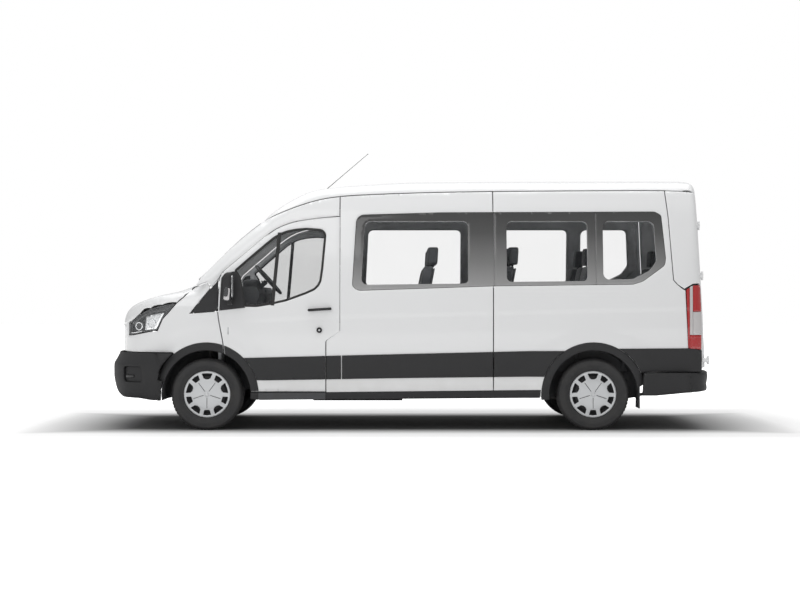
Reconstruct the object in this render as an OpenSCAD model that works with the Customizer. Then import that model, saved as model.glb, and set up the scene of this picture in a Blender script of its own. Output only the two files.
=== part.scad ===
// Mid-roof, long-wheelbase minibus. Millimetres, +Z up, the vehicle faces -X and its left side faces -Y.
// The origin is on the ground, under the middle of the vehicle's length.

/* [Body] */
// Distance from the front axle to the nose of the front bumper
front_overhang = 1023; // [950:1:1200]
// Distance from the rear axle to the back of the rear bumper
rear_overhang = 1208; // [1100:1:1500]
// Width over the wheel-arch flares
body_w = 2059; // [1900:1:2480]
// Height of the roof above the ground
roof_h = 2480; // [2300:1:2980]
// How far the flares and mouldings stand out of the body side
moulding_t = 12; // [8:1:20]
// Thickness of the body walls and doors
wall = 45; // [35:1:60]
// Thickness of the wings' sheet, and of the doors' skin ahead of their hinges
sheet = 5; // [3:1:8]
// Thickness of the bonnet with its frame
bonnet_t = 25; // [15:1:35]
// Thickness of every pane
glass_t = 5; // [4:1:6]
// Top of the cabin floor
floor_z = 590; // [560:1:640]

/* [Wheels] */
// Distance between the axles
wheelbase = 3750; // [3100:1:4600]
// Distance between the front tyres' middles
track_f = 1732; // [1640:1:2100]
// Distance between the rear tyres' middles
track_r = 1743; // [1640:1:2100]
// Radius of a tyre
tyre_r = 348; // [330:1:365]
// Width of a tyre
tyre_w = 235; // [195:1:245]
// Radius of the rim
rim_r = 212; // [190:1:222]
// Radius of the wheel-arch openings
arch_r = 432; // [415:1:450]
// Width of a wheel-arch flare
flare_w = 74; // [50:1:80]
// Radius of the stub axles
stub_r = 28; // [20:1:34]
// Running clearance round axles and pins
run = 0.1; // [0.05:0.01:0.1]

/* [Doors] */
// Gap round an opening door
door_gap = 10; // [8:1:12]
// Length of the sliding side door
sliding_l = 1491; // [1200:1:1600]
// Radius of the hinge pins
pin_r = 6; // [5:0.5:8]
// Wall of a hinge knuckle round its pin
knuckle_wall = 4; // [3:0.5:6]
// Depth of the cab doors' hinge axis under the body skin
hinge_depth = 20; // [19:1:22]
// How far the rear doors' hinge axis stands off the body skin
rear_hinge_out = 16; // [15:1:20]

/* [Seats] */
// Distance from one passenger row to the next
row_pitch = 796; // [700:1:900]
// Width of one seat
seat_w = 430; // [400:1:480]

/* [Hidden] */
$fn = 48;

body_l = front_overhang + wheelbase + rear_overhang;
nose_x = -body_l / 2;
tail_x = body_l / 2;
axle_f = nose_x + front_overhang;
axle_r = axle_f + wheelbase;
half_w = body_w / 2;
side_y = half_w - moulding_t;
belt_z = 1150;
far = 4000;
fit = 0.3;

// Heights of the lower body
sill_z = 376;
skirt_z = 300;
moulding_top_f = 704;
moulding_top_r = 800;
bumper_top_f = 754;
bonnet_lip_z = 1042;

// Stations along the body, from the axles
b_pillar_x = axle_f + 1290;
slide_end_x = b_pillar_x + sliding_l;
hinge_x = axle_f + 210;
screen_base_x = axle_f - 128;
screen_top_x = axle_f + 508;
opening_x = tail_x - 290;

// Slope of the rear face, forward for each millimetre up, and the height where the plan's sizes hold
lean = 0.055;
lean_z = 900;

// The centreline seen from the side: x from the front axle, height
nose_line = [[-931, 700], [-931, 1042], [-905, 1120], [-860, 1185], [-760, 1240], [-547, 1305],
             [-402, 1330], [-291, 1363], [-190, 1411], [-128, 1466]];
// x from the front axle, drop below the roof's height
cab_line = [[508, 452], [570, 378], [695, 295], [820, 222], [944, 160], [1068, 124], [1254, 96],
            [1930, 26], [2300, 15]];
// x from the back of the bumper, drop below the roof's height
tail_line = [[-300, 0], [-215, 25], [-165, 80]];

function side_line() = concat(
    [[axle_f - 931, -far]],
    [for (p = nose_line) [axle_f + p[0], p[1]]],
    [for (p = cab_line) [axle_f + p[0], roof_h - p[1]]],
    [for (p = tail_line) [tail_x + p[0], roof_h - p[1]]],
    [[tail_x - 40, lean_z], [tail_x, 500], [tail_x, -far]]);

// Half a cross-section: distance in from the body side, height
lower_side = [[22, 300], [0, 620], [0, 1000], [9, 1150]];
// Distance in from the body side, drop below the roof's height
upper_side = [[28, 1020], [112, 360], [165, 154], [225, 78], [330, 36], [560, 8]];
// The same for the nose: distance in from the body side, height
nose_side = [[40, 1235], [110, 1330], [250, 1420], [520, 1475]];

function half_section(upper) = concat(
    [[side_y - 22, -far]],
    [for (p = lower_side) [side_y - p[0], p[1]]],
    upper);
function cab_upper() = concat([for (p = upper_side) [side_y - p[0], roof_h - p[1]]], [[0, roof_h]]);
function nose_upper() = concat([for (p = nose_side) [side_y - p[0], p[1]]], [[0, 1490]]);
function both_sides(half) = concat(half, [for (i = [len(half) - 1 : -1 : 0]) [-half[i][0], half[i][1]]]);

// Half of the plan: x from the front axle, distance in from the body side
nose_plan = [[-931, 1017], [-915, 640], [-850, 400], [-740, 210], [-560, 100], [-300, 30], [60, 0]];
// x from the back of the bumper, distance in from the body side
tail_plan = [[-560, 0], [-330, 12], [-200, 35], [-150, 70], [-125, 110], [-100, 300], [-68, 1017]];

function front_plan() = concat([for (p = nose_plan) [axle_f + p[0], max(side_y - p[1], 0)]], [[far, side_y]]);
function rear_plan() = concat([[-far, side_y]], [for (p = tail_plan) [tail_x + p[0], max(side_y - p[1], 0)]]);
function both_plan(half) = concat(half, [for (i = [len(half) - 1 : -1 : 0]) [half[i][0], -half[i][1]]]);

// ---- Ways to place an outline ----

// An outline of (y, z) pushed along X
module along_x(x0, x1) {
    translate([x0, 0, 0]) rotate([90, 0, 90]) linear_extrude(x1 - x0) children();
}

// An outline of (x, z) pushed along Y
module along_y(y0, y1) {
    translate([0, y1, 0]) rotate([90, 0, 0]) linear_extrude(y1 - y0) children();
}

// An outline of (x, y) pushed along Z
module along_z(z0, z1) {
    translate([0, 0, z0]) linear_extrude(z1 - z0) children();
}

module block(x0, x1, y0, y1, z0, z1) {
    translate([x0, y0, z0]) cube([x1 - x0, y1 - y0, z1 - z0]);
}

module on_both_sides() {
    children();
    mirror([0, 1, 0]) children();
}

// A round bar from one point to another
module bar(a, b, r) {
    d = b - a;
    l = norm(d);
    translate(a) rotate([0, acos(d[2] / l), atan2(d[1], d[0])]) cylinder(h = l, r = r);
}

// ---- Body surfaces: each solid is the outer shape moved in by inset ----

module cabin_solid(inset) {
    intersection() {
        along_y(-far, far) offset(delta = -inset) polygon(side_line());
        along_x(-far, far) offset(delta = -inset) polygon(both_sides(half_section(cab_upper())));
        along_z(-far, far) offset(delta = -inset) polygon(both_plan(front_plan()));
        leaning() along_z(-far, far) offset(delta = -inset) polygon(both_plan(rear_plan()));
    }
}

module nose_solid(inset) {
    intersection() {
        along_y(-far, far) offset(delta = -inset) polygon(side_line());
        along_x(-far, far) offset(delta = -inset) polygon(both_sides(half_section(nose_upper())));
        along_z(-far, far) offset(delta = -inset) polygon(both_plan(front_plan()));
    }
}

// Tips the rear face forward at its top
module leaning() {
    translate([tail_x, 0, lean_z]) rotate([0, -atan(lean), 0]) translate([-tail_x, 0, -lean_z]) children();
}

module cabin_layer(outer, inner) {
    difference() {
        cabin_solid(outer);
        cabin_solid(inner);
    }
}

module nose_layer(outer, inner) {
    difference() {
        nose_solid(outer);
        nose_solid(inner);
    }
}

// ---- Outlines in the side view ----

// Height of the gutter where the roof panel meets the body side
gutter_r = roof_h - 158;
gutter_f = roof_h - 208;

module gutter_outline() {
    polygon([[screen_top_x - 60, far], [screen_top_x - 60, roof_h - 474], [screen_top_x + 60, roof_h - 452],
             [screen_top_x + 420, roof_h - 290], [b_pillar_x - 5, gutter_f], [b_pillar_x + 880, gutter_f + 42],
             [b_pillar_x + 1700, gutter_r], [tail_x + 100, gutter_r], [tail_x + 100, far]]);
}

// The cab door: x from the front axle, height; its foot follows the wheel arch
module cab_door_outline(grow) {
    offset(delta = grow) difference() {
        polygon([[b_pillar_x, 2074], [axle_f + 967, 2042], [axle_f + 768, 1998], [axle_f + 568, 1877],
                 [axle_f + 143, 1516], [axle_f + 126, 1469], [axle_f + 113, 1154], [axle_f + 139, 985],
                 [axle_f + 178, 740], [axle_f + 178, tyre_r], [axle_f + 300, sill_z],
                 [b_pillar_x - 138, sill_z], [b_pillar_x - 138, 852], [b_pillar_x, 963]]);
        translate([axle_f, tyre_r]) circle(r = arch_r, $fn = 96);
    }
}

module cab_window_outline(grow) {
    offset(delta = grow) polygon([[axle_f + 1168, 1950], [axle_f + 967, 1966], [axle_f + 768, 1938],
        [axle_f + 646, 1877], [axle_f + 422, 1685], [axle_f + 264, 1541], [axle_f + 312, 1485],
        [axle_f + 372, 1198], [axle_f + 487, 1196], [axle_f + 647, 1224], [axle_f + 967, 1324],
        [axle_f + 1049, 1361], [axle_f + 1111, 1445], [axle_f + 1128, 1565]]);
}

// The black corner trim under the mirror
module mirror_corner_outline() {
    polygon([[axle_f - 162, 1136], [axle_f + 162, 1470], [axle_f + 310, 1485], [axle_f + 374, 1187],
             [axle_f + 130, 1172]]);
}

// The side windows' glass band: front, rear, and the posts behind its joints
band_x = b_pillar_x + 130;
band_joint_1 = b_pillar_x + 1500;
band_joint_2 = b_pillar_x + 2487;
band_end_x = tail_x - 508;
band_top = roof_h - 364;

module glass_band_outline(grow) {
    offset(delta = grow) polygon([[band_x + 35, band_top - 24], [b_pillar_x + 1000, band_top],
        [band_end_x - 60, band_top], [band_end_x - 32, band_top - 30], [band_end_x, 1650],
        [band_end_x, 1600], [band_end_x - 230, 1445], [band_end_x - 330, 1412], [band_joint_1, 1400],
        [band_x + 60, 1356], [band_x, 1400]]);
}

// Openings cut in the body wall behind the glass: from, to, sill height
module window_openings_outline() {
    window_top = roof_h - 449;
    for (w = [[b_pillar_x + 215, band_joint_1 - 250, 1412], [band_joint_1 + 120, band_joint_2 - 85, 1452]]) {
        translate([w[0], w[2]]) offset(r = 50) offset(delta = -50) square([w[1] - w[0], window_top - w[2]]);
    }
    polygon([[band_joint_2 + 70, 1466], [band_joint_2 + 70, window_top], [band_end_x - 100, window_top],
             [band_end_x - 79, 1640], [band_end_x - 240, 1520], [band_end_x - 320, 1466]]);
}

// What lies under the seam between a wing and the windscreen pillar
module wing_side_outline() {
    polygon([[axle_f - far, 0], [axle_f - far, 1475], [screen_base_x, 1466], [axle_f + 20, 1440],
             [axle_f + 113, 1250], [axle_f + 113, 1154], [axle_f + 178, 740], [axle_f + 178, 0]]);
}

module headlamp_outline() {
    polygon([[axle_f - 312, 1233], [axle_f - 516, 959], [axle_f - 800, 919], [axle_f - 960, 930],
             [axle_f - 960, 1060], [axle_f - 796, 1075], [axle_f - 660, 1140], [axle_f - 540, 1185]]);
}

module tail_lamp_outline() {
    polygon([[tail_x - 312, 1360], [tail_x - 245, 1410], [tail_x + 10, 1410], [tail_x + 10, 781],
             [tail_x - 292, 796]]);
}

// ---- Rear doors: outline from behind ----

rear_edge_y = side_y - 67;
rear_edge_low = 600;
rear_slant = 0.0742;
rear_top = roof_h - 160;

function rear_edge(z) = rear_edge_y - (z - rear_edge_low) * rear_slant;

module rear_opening_outline(shrink) {
    top = rear_top - shrink;
    polygon([[0, rear_edge_low + shrink], [rear_edge(rear_edge_low) - shrink, rear_edge_low + shrink],
             [rear_edge(top - 90) - shrink, top - 90], [rear_edge(top) - 60, top], [0, top]]);
}

module rear_window_outline(grow) {
    offset(delta = grow) polygon([[90, 1440], [rear_edge(1440) - 95, 1440], [rear_edge(2090) - 95, 2090],
                                  [90, 2090]]);
}

// The whole rear opening, cut out of the body's back
module rear_opening(grow) {
    along_x(opening_x, far) {
        rear_opening_outline(-grow);
        mirror([1, 0]) rear_opening_outline(-grow);
    }
}

module arches(grow) {
    for (x = [axle_f, axle_r]) {
        translate([x, 0, tyre_r]) rotate([90, 0, 0]) cylinder(h = 2 * far, r = arch_r + grow, center = true, $fn = 96);
    }
}

// ---- Body ----

// The cabin floor, with a box over each rear wheel
module floor_pan() {
    color("dimgray") difference() {
        intersection() {
            cabin_solid(wall + fit);
            union() {
                block(axle_f + 330, tail_x - 215, -side_y, side_y, floor_z - 30, floor_z);
                block(tail_x - 216, tail_x - 110, -700, 700, floor_z - 30, floor_z);
                on_both_sides() block(axle_r - 470, axle_r + 470, track_r / 2 - tyre_w / 2 - 70, side_y, floor_z - 30, 830);
            }
        }
        on_both_sides() block(axle_r - arch_r - 10, axle_r + arch_r + 10, track_r / 2 - tyre_w / 2 - 55, far, 0, 815);
        on_both_sides() block(axle_f - far, axle_f + 450, tub_y, far, 0, floor_z + 1);
        on_both_sides() block(axle_f, b_pillar_x, side_y - wall - 15, far, 0, floor_z + 1);
    }
    color("dimgray") on_both_sides() cab_sill();
}

// The sill under a cab door, with its outer face on the body's skin
module cab_sill() {
    intersection() {
        cabin_solid(0);
        union() {
            block(axle_f + 460, b_pillar_x - 139, side_y - wall - 95, side_y - wall - 25, skirt_z, floor_z - 30);
            block(axle_f + 460, b_pillar_x - 139, side_y - wall - 55, side_y + 1, skirt_z, sill_z - door_gap);
        }
    }
}

// Inner side of the front wheels' space
tub_y = track_f / 2 - tyre_w / 2 - 225;
rail_y = 420;
rail_w = 60;
rail_top = floor_z - 30;
rail_h = 110;

module chassis_rails() {
    color("dimgray") {
        on_both_sides() block(nose_x + 260, tail_x - 190, rail_y - rail_w / 2, rail_y + rail_w / 2,
                              rail_top - rail_h, rail_top);
        for (x = [nose_x + 260, axle_f + 700, axle_f + 1700, axle_r - 800, axle_r + 500, tail_x - 250])
            block(x, x + 60, -rail_y + rail_w / 2, rail_y - rail_w / 2, rail_top - 80, rail_top - 10);
        on_both_sides() jacking_pad();
    }
}

jack_x = axle_r - 1182;

// A flat pad under a rail, for the head of a jack
module jacking_pad() {
    block(jack_x - 60, jack_x + 60, rail_y - rail_w / 2, rail_y + rail_w / 2, rail_top - rail_h - 12, rail_top - rail_h);
}

pillar_y = side_y - 125;
screen_half_w = side_y - 175;

// Door pillars, roof edge over the cab doors, bulkhead and scuttle
module cab_frame() {
    color("white") {
        difference() {
            intersection() {
                cabin_layer(0, wall);
                along_y(-far, far) polygon([[screen_base_x - 10, 1150], [screen_base_x - 10, 1490],
                    [screen_top_x - 60, roof_h - 400], [b_pillar_x, far], [b_pillar_x, 1150]]);
            }
            along_y(-far, far) gutter_outline();
            along_y(-far, far) cab_door_outline(door_gap);
            along_y(-far, far) wing_side_outline();
            block(nose_x, screen_top_x + 100, -screen_half_w, screen_half_w, 1000, far);
        }
        bulkhead();
        on_both_sides() hinge_pillar();
    }
}

// The wall between engine and cab, with the shelf under the windscreen
module bulkhead() {
    block(axle_f + 90, axle_f + 120, -tub_y, tub_y, rail_top, 850);
    block(axle_f + 90, axle_f + 120, -pillar_y, pillar_y, 850, 1330);
    block(screen_base_x + 20, axle_f + 120, -screen_half_w + 30, screen_half_w - 30, 1330, 1360);
    block(axle_f + 90, axle_f + 330, -tub_y, tub_y, rail_top, floor_z);
    on_both_sides() bonnet_pin();
}

// The two ears on the scuttle that hold a bonnet pin
module bonnet_pin() {
    for (y = [bonnet_hinge_y - 23, bonnet_hinge_y + 13])
        block(bonnet_axis_x - 8, screen_base_x + 25, y, y + 10, 1330, bonnet_axis_z + 8);
    translate([bonnet_axis_x, bonnet_hinge_y - 23, bonnet_axis_z]) rotate([-90, 0, 0]) cylinder(h = 46, r = pin_r);
}

// The post that carries a cab door, with its two hinge pins
module hinge_pillar() {
    block(axle_f + 114, hinge_x + 40, pillar_y - 50, pillar_y, hinge_heights[0] - 40, 1455);
    for (z = hinge_heights) {
        for (dz = [-hinge_h / 2 - 14, hinge_h / 2 + 1])
            block(hinge_x - 8, hinge_x + 8, pillar_y - 5, door_axis_y, z + dz, z + dz + 13);
        for (dz = [-hinge_h / 2 - 14, hinge_h / 2 + 1])
            translate([hinge_x, door_axis_y, z + dz]) cylinder(h = 13, r = pin_r + knuckle_wall);
        translate([hinge_x, door_axis_y, z - hinge_h / 2 - 14]) cylinder(h = hinge_h + 28, r = pin_r);
    }
}

door_axis_y = side_y - hinge_depth;
hinge_heights = [800, 965];
hinge_h = 40;

module roof_panel() {
    color("white") difference() {
        intersection() {
            cabin_layer(0, wall);
            along_y(-far, far) gutter_outline();
        }
        rear_opening(0);
    }
}

// A body side behind the cab, from start_x to the tail
module body_side(start_x) {
    difference() {
        intersection() {
            cabin_layer(0, wall);
            along_y(0, far) polygon([[start_x, gutter_r + 200], [start_x, 963], [start_x - 138 * lower_step(start_x), 852],
                [start_x - 138 * lower_step(start_x), skirt_z], [tail_x, skirt_z], [tail_x, gutter_r + 200]]);
        }
        along_y(0, far) gutter_outline();
        rear_opening(0);
        block(opening_x + 60, far, 0, side_y - 160, 0, roof_h);
        along_y(0, far) cab_door_outline(door_gap);
        block(axle_r + 400, far, 0, far, 0, step_z);
        arches(0);
        along_y(0, far) window_openings_outline();
        glass_recess();
        along_y(0, far) tail_lamp_outline();
    }
}

// Only the side that starts at the cab door has the step in its front edge
function lower_step(x) = x == b_pillar_x ? 1 : 0;

// Room for the flush glass band
module glass_recess() {
    difference() {
        along_y(0, far) glass_band_outline(0);
        cabin_solid(glass_t);
    }
}

module left_side_panel() {
    color("white") {
        mirror([0, 1, 0]) body_side(b_pillar_x);
        mirror([0, 1, 0]) rear_hinge_pins();
    }
}

module right_side_panel() {
    color("white") {
        difference() {
            body_side(b_pillar_x);
            along_y(0, far) sliding_outline(0);
        }
        rear_hinge_pins();
    }
}

module sliding_outline(shrink) {
    polygon([[b_pillar_x + shrink, gutter_f - 60 - shrink], [slide_end_x - shrink, gutter_f - 60 - shrink],
             [slide_end_x - shrink, sill_z + shrink], [b_pillar_x + shrink, sill_z + shrink]]);
}

module sliding_door() {
    color("white") difference() {
        intersection() {
            cabin_layer(0, wall);
            along_y(0, far) sliding_outline(0);
        }
        along_y(0, far) window_openings_outline();
        along_y(0, far) cab_door_outline(door_gap);
        glass_recess();
    }
}

module wings() {
    color("white") on_both_sides() difference() {
        intersection() {
            nose_layer(0, sheet);
            along_y(0, far) wing_side_outline();
        }
        along_y(0, far) cab_door_outline(door_gap);
        along_y(0, far) intersection() {
            cab_door_outline(2 * door_gap);
            translate([axle_f, tyre_r]) circle(r = arch_r + flare_w + 10, $fn = 96);
        }
        bonnet_footprint(12);
        along_y(0, far) headlamp_outline();
        block(nose_x - 10, far, -far, grille_y, 0, far);
        arches(0);
        block(nose_x - 10, nose_x + bumper_l, 0, far, 0, bumper_top_f);
        block(nose_x - 10, far, 0, far, -1, 600);
        block(axle_f - 176, far, 0, screen_half_w, 0, far);
    }
}

// The bonnet's outline from above, pushed up
module bonnet_footprint(grow) {
    along_z(bonnet_lip_z - grow, far) offset(delta = grow) polygon([[axle_f - 945, -far / 4], [axle_f - 945, far / 4],
        [axle_f - 700, far / 4], [axle_f - 690, side_y - 190], [axle_f - 290, side_y - 95],
        [axle_f - 230, side_y - 190], [axle_f - 175, side_y - 190], [axle_f - 175, -side_y + 190],
        [axle_f - 230, -side_y + 190], [axle_f - 290, -side_y + 95],
        [axle_f - 690, -side_y + 190], [axle_f - 700, -far / 4]]);
}

bonnet_axis_x = axle_f - 165;
bonnet_axis_z = 1345;
bonnet_hinge_y = 560;

module bonnet() {
    color("white") {
        difference() {
            intersection() {
                nose_layer(0, bonnet_t);
                bonnet_footprint(0);
            }
            on_both_sides() along_y(0, far) offset(delta = 6) headlamp_outline();
        }
        on_both_sides() bonnet_arm();
    }
}

// The arm and eye that hang the bonnet on a pin
module bonnet_arm() {
    difference() {
        union() {
            translate([bonnet_axis_x, bonnet_hinge_y - 12, bonnet_axis_z]) rotate([-90, 0, 0])
                cylinder(h = 24, r = pin_r + knuckle_wall);
            block(bonnet_axis_x - 60, bonnet_axis_x, bonnet_hinge_y - 12, bonnet_hinge_y + 12,
                  bonnet_axis_z - 8, bonnet_axis_z + 8);
            block(bonnet_axis_x - 75, bonnet_axis_x - 45, bonnet_hinge_y - 12, bonnet_hinge_y + 12,
                  bonnet_axis_z - 8, bonnet_axis_z + 34);
        }
        translate([bonnet_axis_x, bonnet_hinge_y - 20, bonnet_axis_z]) rotate([-90, 0, 0])
            cylinder(h = 40, r = pin_r + run);
    }
}

bumper_bottom = 290;
bumper_l = 707;

// The bumper's outer plan: x from the nose, distance in from the flares' plane
bumper_plan = [[0, 1029.5], [16, 640], [75, 400], [190, 210], [390, 70], [590, 12], [720, 0]];

module bumper_outline(table, x0, dir) {
    half = [for (p = table) [x0 + dir * p[0], max(half_w - p[1], 0)]];
    polygon(concat(half, [[x0 + dir * 900, half_w], [x0 + dir * 900, -half_w]],
                   [for (i = [len(half) - 1 : -1 : 0]) [half[i][0], -half[i][1]]]));
}

module front_bumper() {
    color([0.08, 0.08, 0.085]) difference() {
        along_z(bumper_bottom, bumper_top_f) bumper_outline(bumper_plan, nose_x, 1);
        along_z(bumper_bottom - 1, bumper_top_f - 30) offset(delta = -35) bumper_outline(bumper_plan, nose_x, 1);
        along_z(bumper_top_f - 40, bumper_top_f + 1) offset(delta = -110) bumper_outline(bumper_plan, nose_x, 1);
        block(nose_x + bumper_l, far, -far, far, 0, far);
        arches(flare_w);
        block(nose_x - 10, nose_x + 300, -420, 420, 380, 520);
        on_both_sides() block(nose_x + 150, nose_x + 400, 500, far, 462, 617);
        towing_hole(36);
    }
    color([0.08, 0.08, 0.085]) towing_socket();
    color([0.05, 0.05, 0.055]) on_both_sides() fog_panel();
    color("dimgray") bumper_beam();
}

tow_y = 560;
tow_z = 660;
tow_r = 10;

module towing_hole(r) {
    translate([nose_x - 10, tow_y, tow_z]) rotate([0, 90, 0]) cylinder(h = 200, r = r);
}

// The threaded socket for the towing eye
module towing_socket() {
    difference() {
        translate([nose_x + 75, tow_y, tow_z]) rotate([0, 90, 0]) cylinder(h = 145, r = 24);
        translate([nose_x + 74, tow_y, tow_z]) rotate([0, 90, 0]) cylinder(h = 60, r = tow_r);
    }
}

// The crash beam across the rails' front ends
module bumper_beam() {
    block(nose_x + 200, nose_x + 260, -rail_y - 160, rail_y + 160, rail_top - rail_h, rail_top);
    block(nose_x + 200, nose_x + 259, tow_y - 30, tow_y + 30, rail_top - 1, tow_z + 25);
    on_both_sides() block(nose_x + 150, nose_x + 200, rail_y - 60, rail_y, rail_top - rail_h, rail_top);
}

module fog_panel() {
    difference() {
        along_z(462, 617) offset(delta = -36) bumper_outline(bumper_plan, nose_x, 1);
        along_z(461, 618) offset(delta = -60) bumper_outline(bumper_plan, nose_x, 1);
        block(nose_x - 10, far, -far, 490, 0, far);
        block(nose_x + 420, far, -far, far, 0, far);
    }
}

grille_y = 560;

module grille() {
    color([0.08, 0.08, 0.085]) difference() {
        intersection() {
            nose_layer(0, 40);
            block(nose_x, axle_f - 700, -grille_y + fit, grille_y - fit, bumper_top_f, bonnet_lip_z - 10);
        }
        for (i = [0 : 3]) {
            z = 800 + i * 55;
            block(nose_x, axle_f - 700, -grille_y + 60, grille_y - 60, z, z + 32);
        }
    }
}

module headlamps() {
    color("gainsboro") on_both_sides() difference() {
        intersection() {
            nose_layer(0, 90);
            along_y(grille_y, far) headlamp_outline();
        }
        bonnet_footprint(6);
    }
}

module windscreen() {
    color([0.2, 0.25, 0.28, 0.5]) intersection() {
        cabin_layer(0, glass_t);
        block(screen_base_x, screen_top_x + 40, -screen_half_w + fit, screen_half_w - fit, 1430, roof_h - 474);
    }
}

module side_glass() {
    color([0.2, 0.23, 0.25, 0.6]) {
        mirror([0, 1, 0]) pane_strip();
        pane_strip();
    }
}

// Three panes with narrow joints between them
module pane_strip() {
    difference() {
        intersection() {
            cabin_layer(0, glass_t);
            along_y(0, far) glass_band_outline(-2);
        }
        for (x = [band_joint_1, band_joint_2]) block(x - 4, x + 4, 0, far, 0, far);
    }
}

module tail_lamps() {
    color("firebrick") on_both_sides() difference() {
        intersection() {
            cabin_layer(0, wall);
            along_y(0, far) offset(delta = -fit) tail_lamp_outline();
        }
        rear_opening(0);
        block(opening_x + 60, far, 0, side_y - 160, 0, roof_h);
    }
}

bumper_plan_r = [[0, 1029.5], [12, 560], [40, 330], [85, 160], [150, 60], [260, 10], [430, 0]];
step_z = 560;

module rear_bumper() {
    color([0.08, 0.08, 0.085]) difference() {
        along_z(340, step_z) bumper_outline(bumper_plan_r, tail_x, -1);
        along_z(339, step_z - 30) offset(delta = -35) bumper_outline(bumper_plan_r, tail_x, -1);
        along_z(step_z - 31, step_z + 1) offset(delta = -75) bumper_outline(bumper_plan_r, tail_x, -1);
        along_y(-far, far) polygon([[tail_x - 1200, 0], [tail_x - 1200, far], [axle_r + 500, far],
                                    [axle_r + 440, 0]]);
        arches(flare_w + 20);
    }
    color("dimgray") {
        block(tail_x - 190, tail_x - 110, -rail_y - 200, rail_y + 200, rail_top - rail_h, rail_top - 5);
        block(tail_x - 120, tail_x - 30, -300, 300, 400, 500);
    }
}

// The moulding's outline: rises gently towards the tail
module moulding_outline() {
    polygon([[axle_f + 300, moulding_top_f], [tail_x - 345, moulding_top_r], [tail_x - 292, moulding_top_r - 6],
             [tail_x + 10, moulding_top_r - 20], [tail_x + 10, step_z],
             [axle_r + 400, step_z], [axle_r + 300, 530], [axle_f + 300, 482]]);
}

module lower_sill_outline() {
    polygon([[axle_f + 300, sill_z], [axle_r, 396], [axle_r, 318], [axle_f + 300, skirt_z - 6]]);
}

module flare_ring(x) {
    difference() {
        translate([x, tyre_r]) circle(r = arch_r + flare_w, $fn = 96);
        translate([x, tyre_r]) circle(r = arch_r, $fn = 96);
        translate([x - 700, -200]) square([1400, 496]);
    }
}

// Flares, mouldings and lower sills on the body, outside the doors
module side_mouldings() {
    color([0.08, 0.08, 0.085]) on_both_sides() difference() {
        intersection() {
            cabin_layer(-moulding_t, 0);
            along_y(0, far) union() {
                difference() {
                    union() {
                        moulding_outline();
                        lower_sill_outline();
                    }
                    translate([axle_f, tyre_r]) circle(r = arch_r + flare_w, $fn = 96);
                    translate([axle_r, tyre_r]) circle(r = arch_r + flare_w, $fn = 96);
                }
                flare_ring(axle_f);
                flare_ring(axle_r);
            }
        }
        along_y(0, far) cab_door_outline(2 * door_gap);
        rear_opening(3 * door_gap);
        block(axle_f - far, nose_x + bumper_l, -far, far, 0, far);
    }
}

module mudflaps() {
    color([0.06, 0.06, 0.06]) on_both_sides()
        block(axle_r + arch_r + 12, axle_r + arch_r + 22, track_r / 2 - tyre_w / 2, side_y - wall - 5, 212, rail_top);
}

antenna_x = axle_f + 1065;

module antenna() {
    base_z = roof_h - 124;
    color([0.06, 0.06, 0.06]) {
        difference() {
            translate([antenna_x, 0, base_z - 20]) cylinder(h = 58, r = 22);
            cabin_solid(0);
        }
        bar([antenna_x, 0, base_z + 25], [antenna_x + 476, 0, base_z + 25 + 395], 3);
    }
}

// ---- Inside ----

module dashboard() {
    color([0.13, 0.13, 0.14]) {
        union() {
            along_y(-pillar_y + 51, pillar_y - 51) polygon([[axle_f + 120 + fit, 1000], [axle_f + 120 + fit, 1361],
                [axle_f + 260, 1400], [axle_f + 470, 1395], [axle_f + 500, 1330], [axle_f + 420, 1000]]);
        }
        bar(steer_centre - 330 * steer_dir, steer_centre - 20 * steer_dir, 24);
        bar(steer_centre - 330 * steer_dir, steer_centre + 30 * steer_dir, 12);
    }
}

wheel_y = -440;
steer_tilt = 42;
steer_centre = [axle_f + 545, wheel_y, 1462];
steer_dir = [cos(steer_tilt), 0, sin(steer_tilt)];
steer_r = 195;

module steering_wheel() {
    color([0.08, 0.08, 0.08]) translate(steer_centre) rotate([0, 90 - steer_tilt, 0]) difference() {
        union() {
            rotate_extrude($fn = 48) translate([steer_r - 14, 10]) circle(r = 14, $fn = 24);
            cylinder(h = 22, r = 55);
            for (a = [30, 150, 270]) rotate([0, 0, a]) translate([0, -16, 2]) cube([steer_r - 20, 32, 14]);
        }
        translate([0, 0, -20]) cylinder(h = 60, r = 12 + run);
    }
}

// A seat with its back edge at x and its middle at y
module seat(x, y, w) {
    translate([x, y, floor_z]) {
        block(-430, -60, -40, 40, 0, 300);
        block(-500, -20, -w / 2, w / 2, 300, 430);
        along_y(-w / 2, w / 2) polygon([[-120, 330], [0, 330], [130, 1010], [40, 1010]]);
        along_y(-110, 110) polygon([[45, 1000], [125, 1000], [140, 1180], [50, 1180]]);
    }
}

module front_seats() {
    color([0.2, 0.21, 0.22]) for (s = [[wheel_y - 60, 500], [215, 430], [655, 430]])
        seat(axle_f + 1215, s[0], s[1]);
}

row_x = b_pillar_x + 815;
rows = 4;

module passenger_seats() {
    color([0.2, 0.21, 0.22]) for (i = [0 : rows - 1], y = [-640, -640 + seat_w + 8, 610])
        if (!(i == rows - 1 && abs(y) < 300))
            seat(row_x + i * row_pitch, y, seat_w);
}

// ---- Running gear ----

module engine_block() {
    color("dimgray") {
        block(axle_f - 560, axle_f + 20, -330, 330, rail_top - 40, 1060);
        block(axle_f - 400, axle_f - 340, -rail_y - 20, rail_y + 20, rail_top, rail_top + 30);
    }
}

kpi = 12;
king_y = 760;
king_up = [0, -sin(kpi), cos(kpi)];

// A point on the right kingpin's axis, at height z
function king(z) = [axle_f, king_y - (z - tyre_r) * tan(kpi), z];

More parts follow.
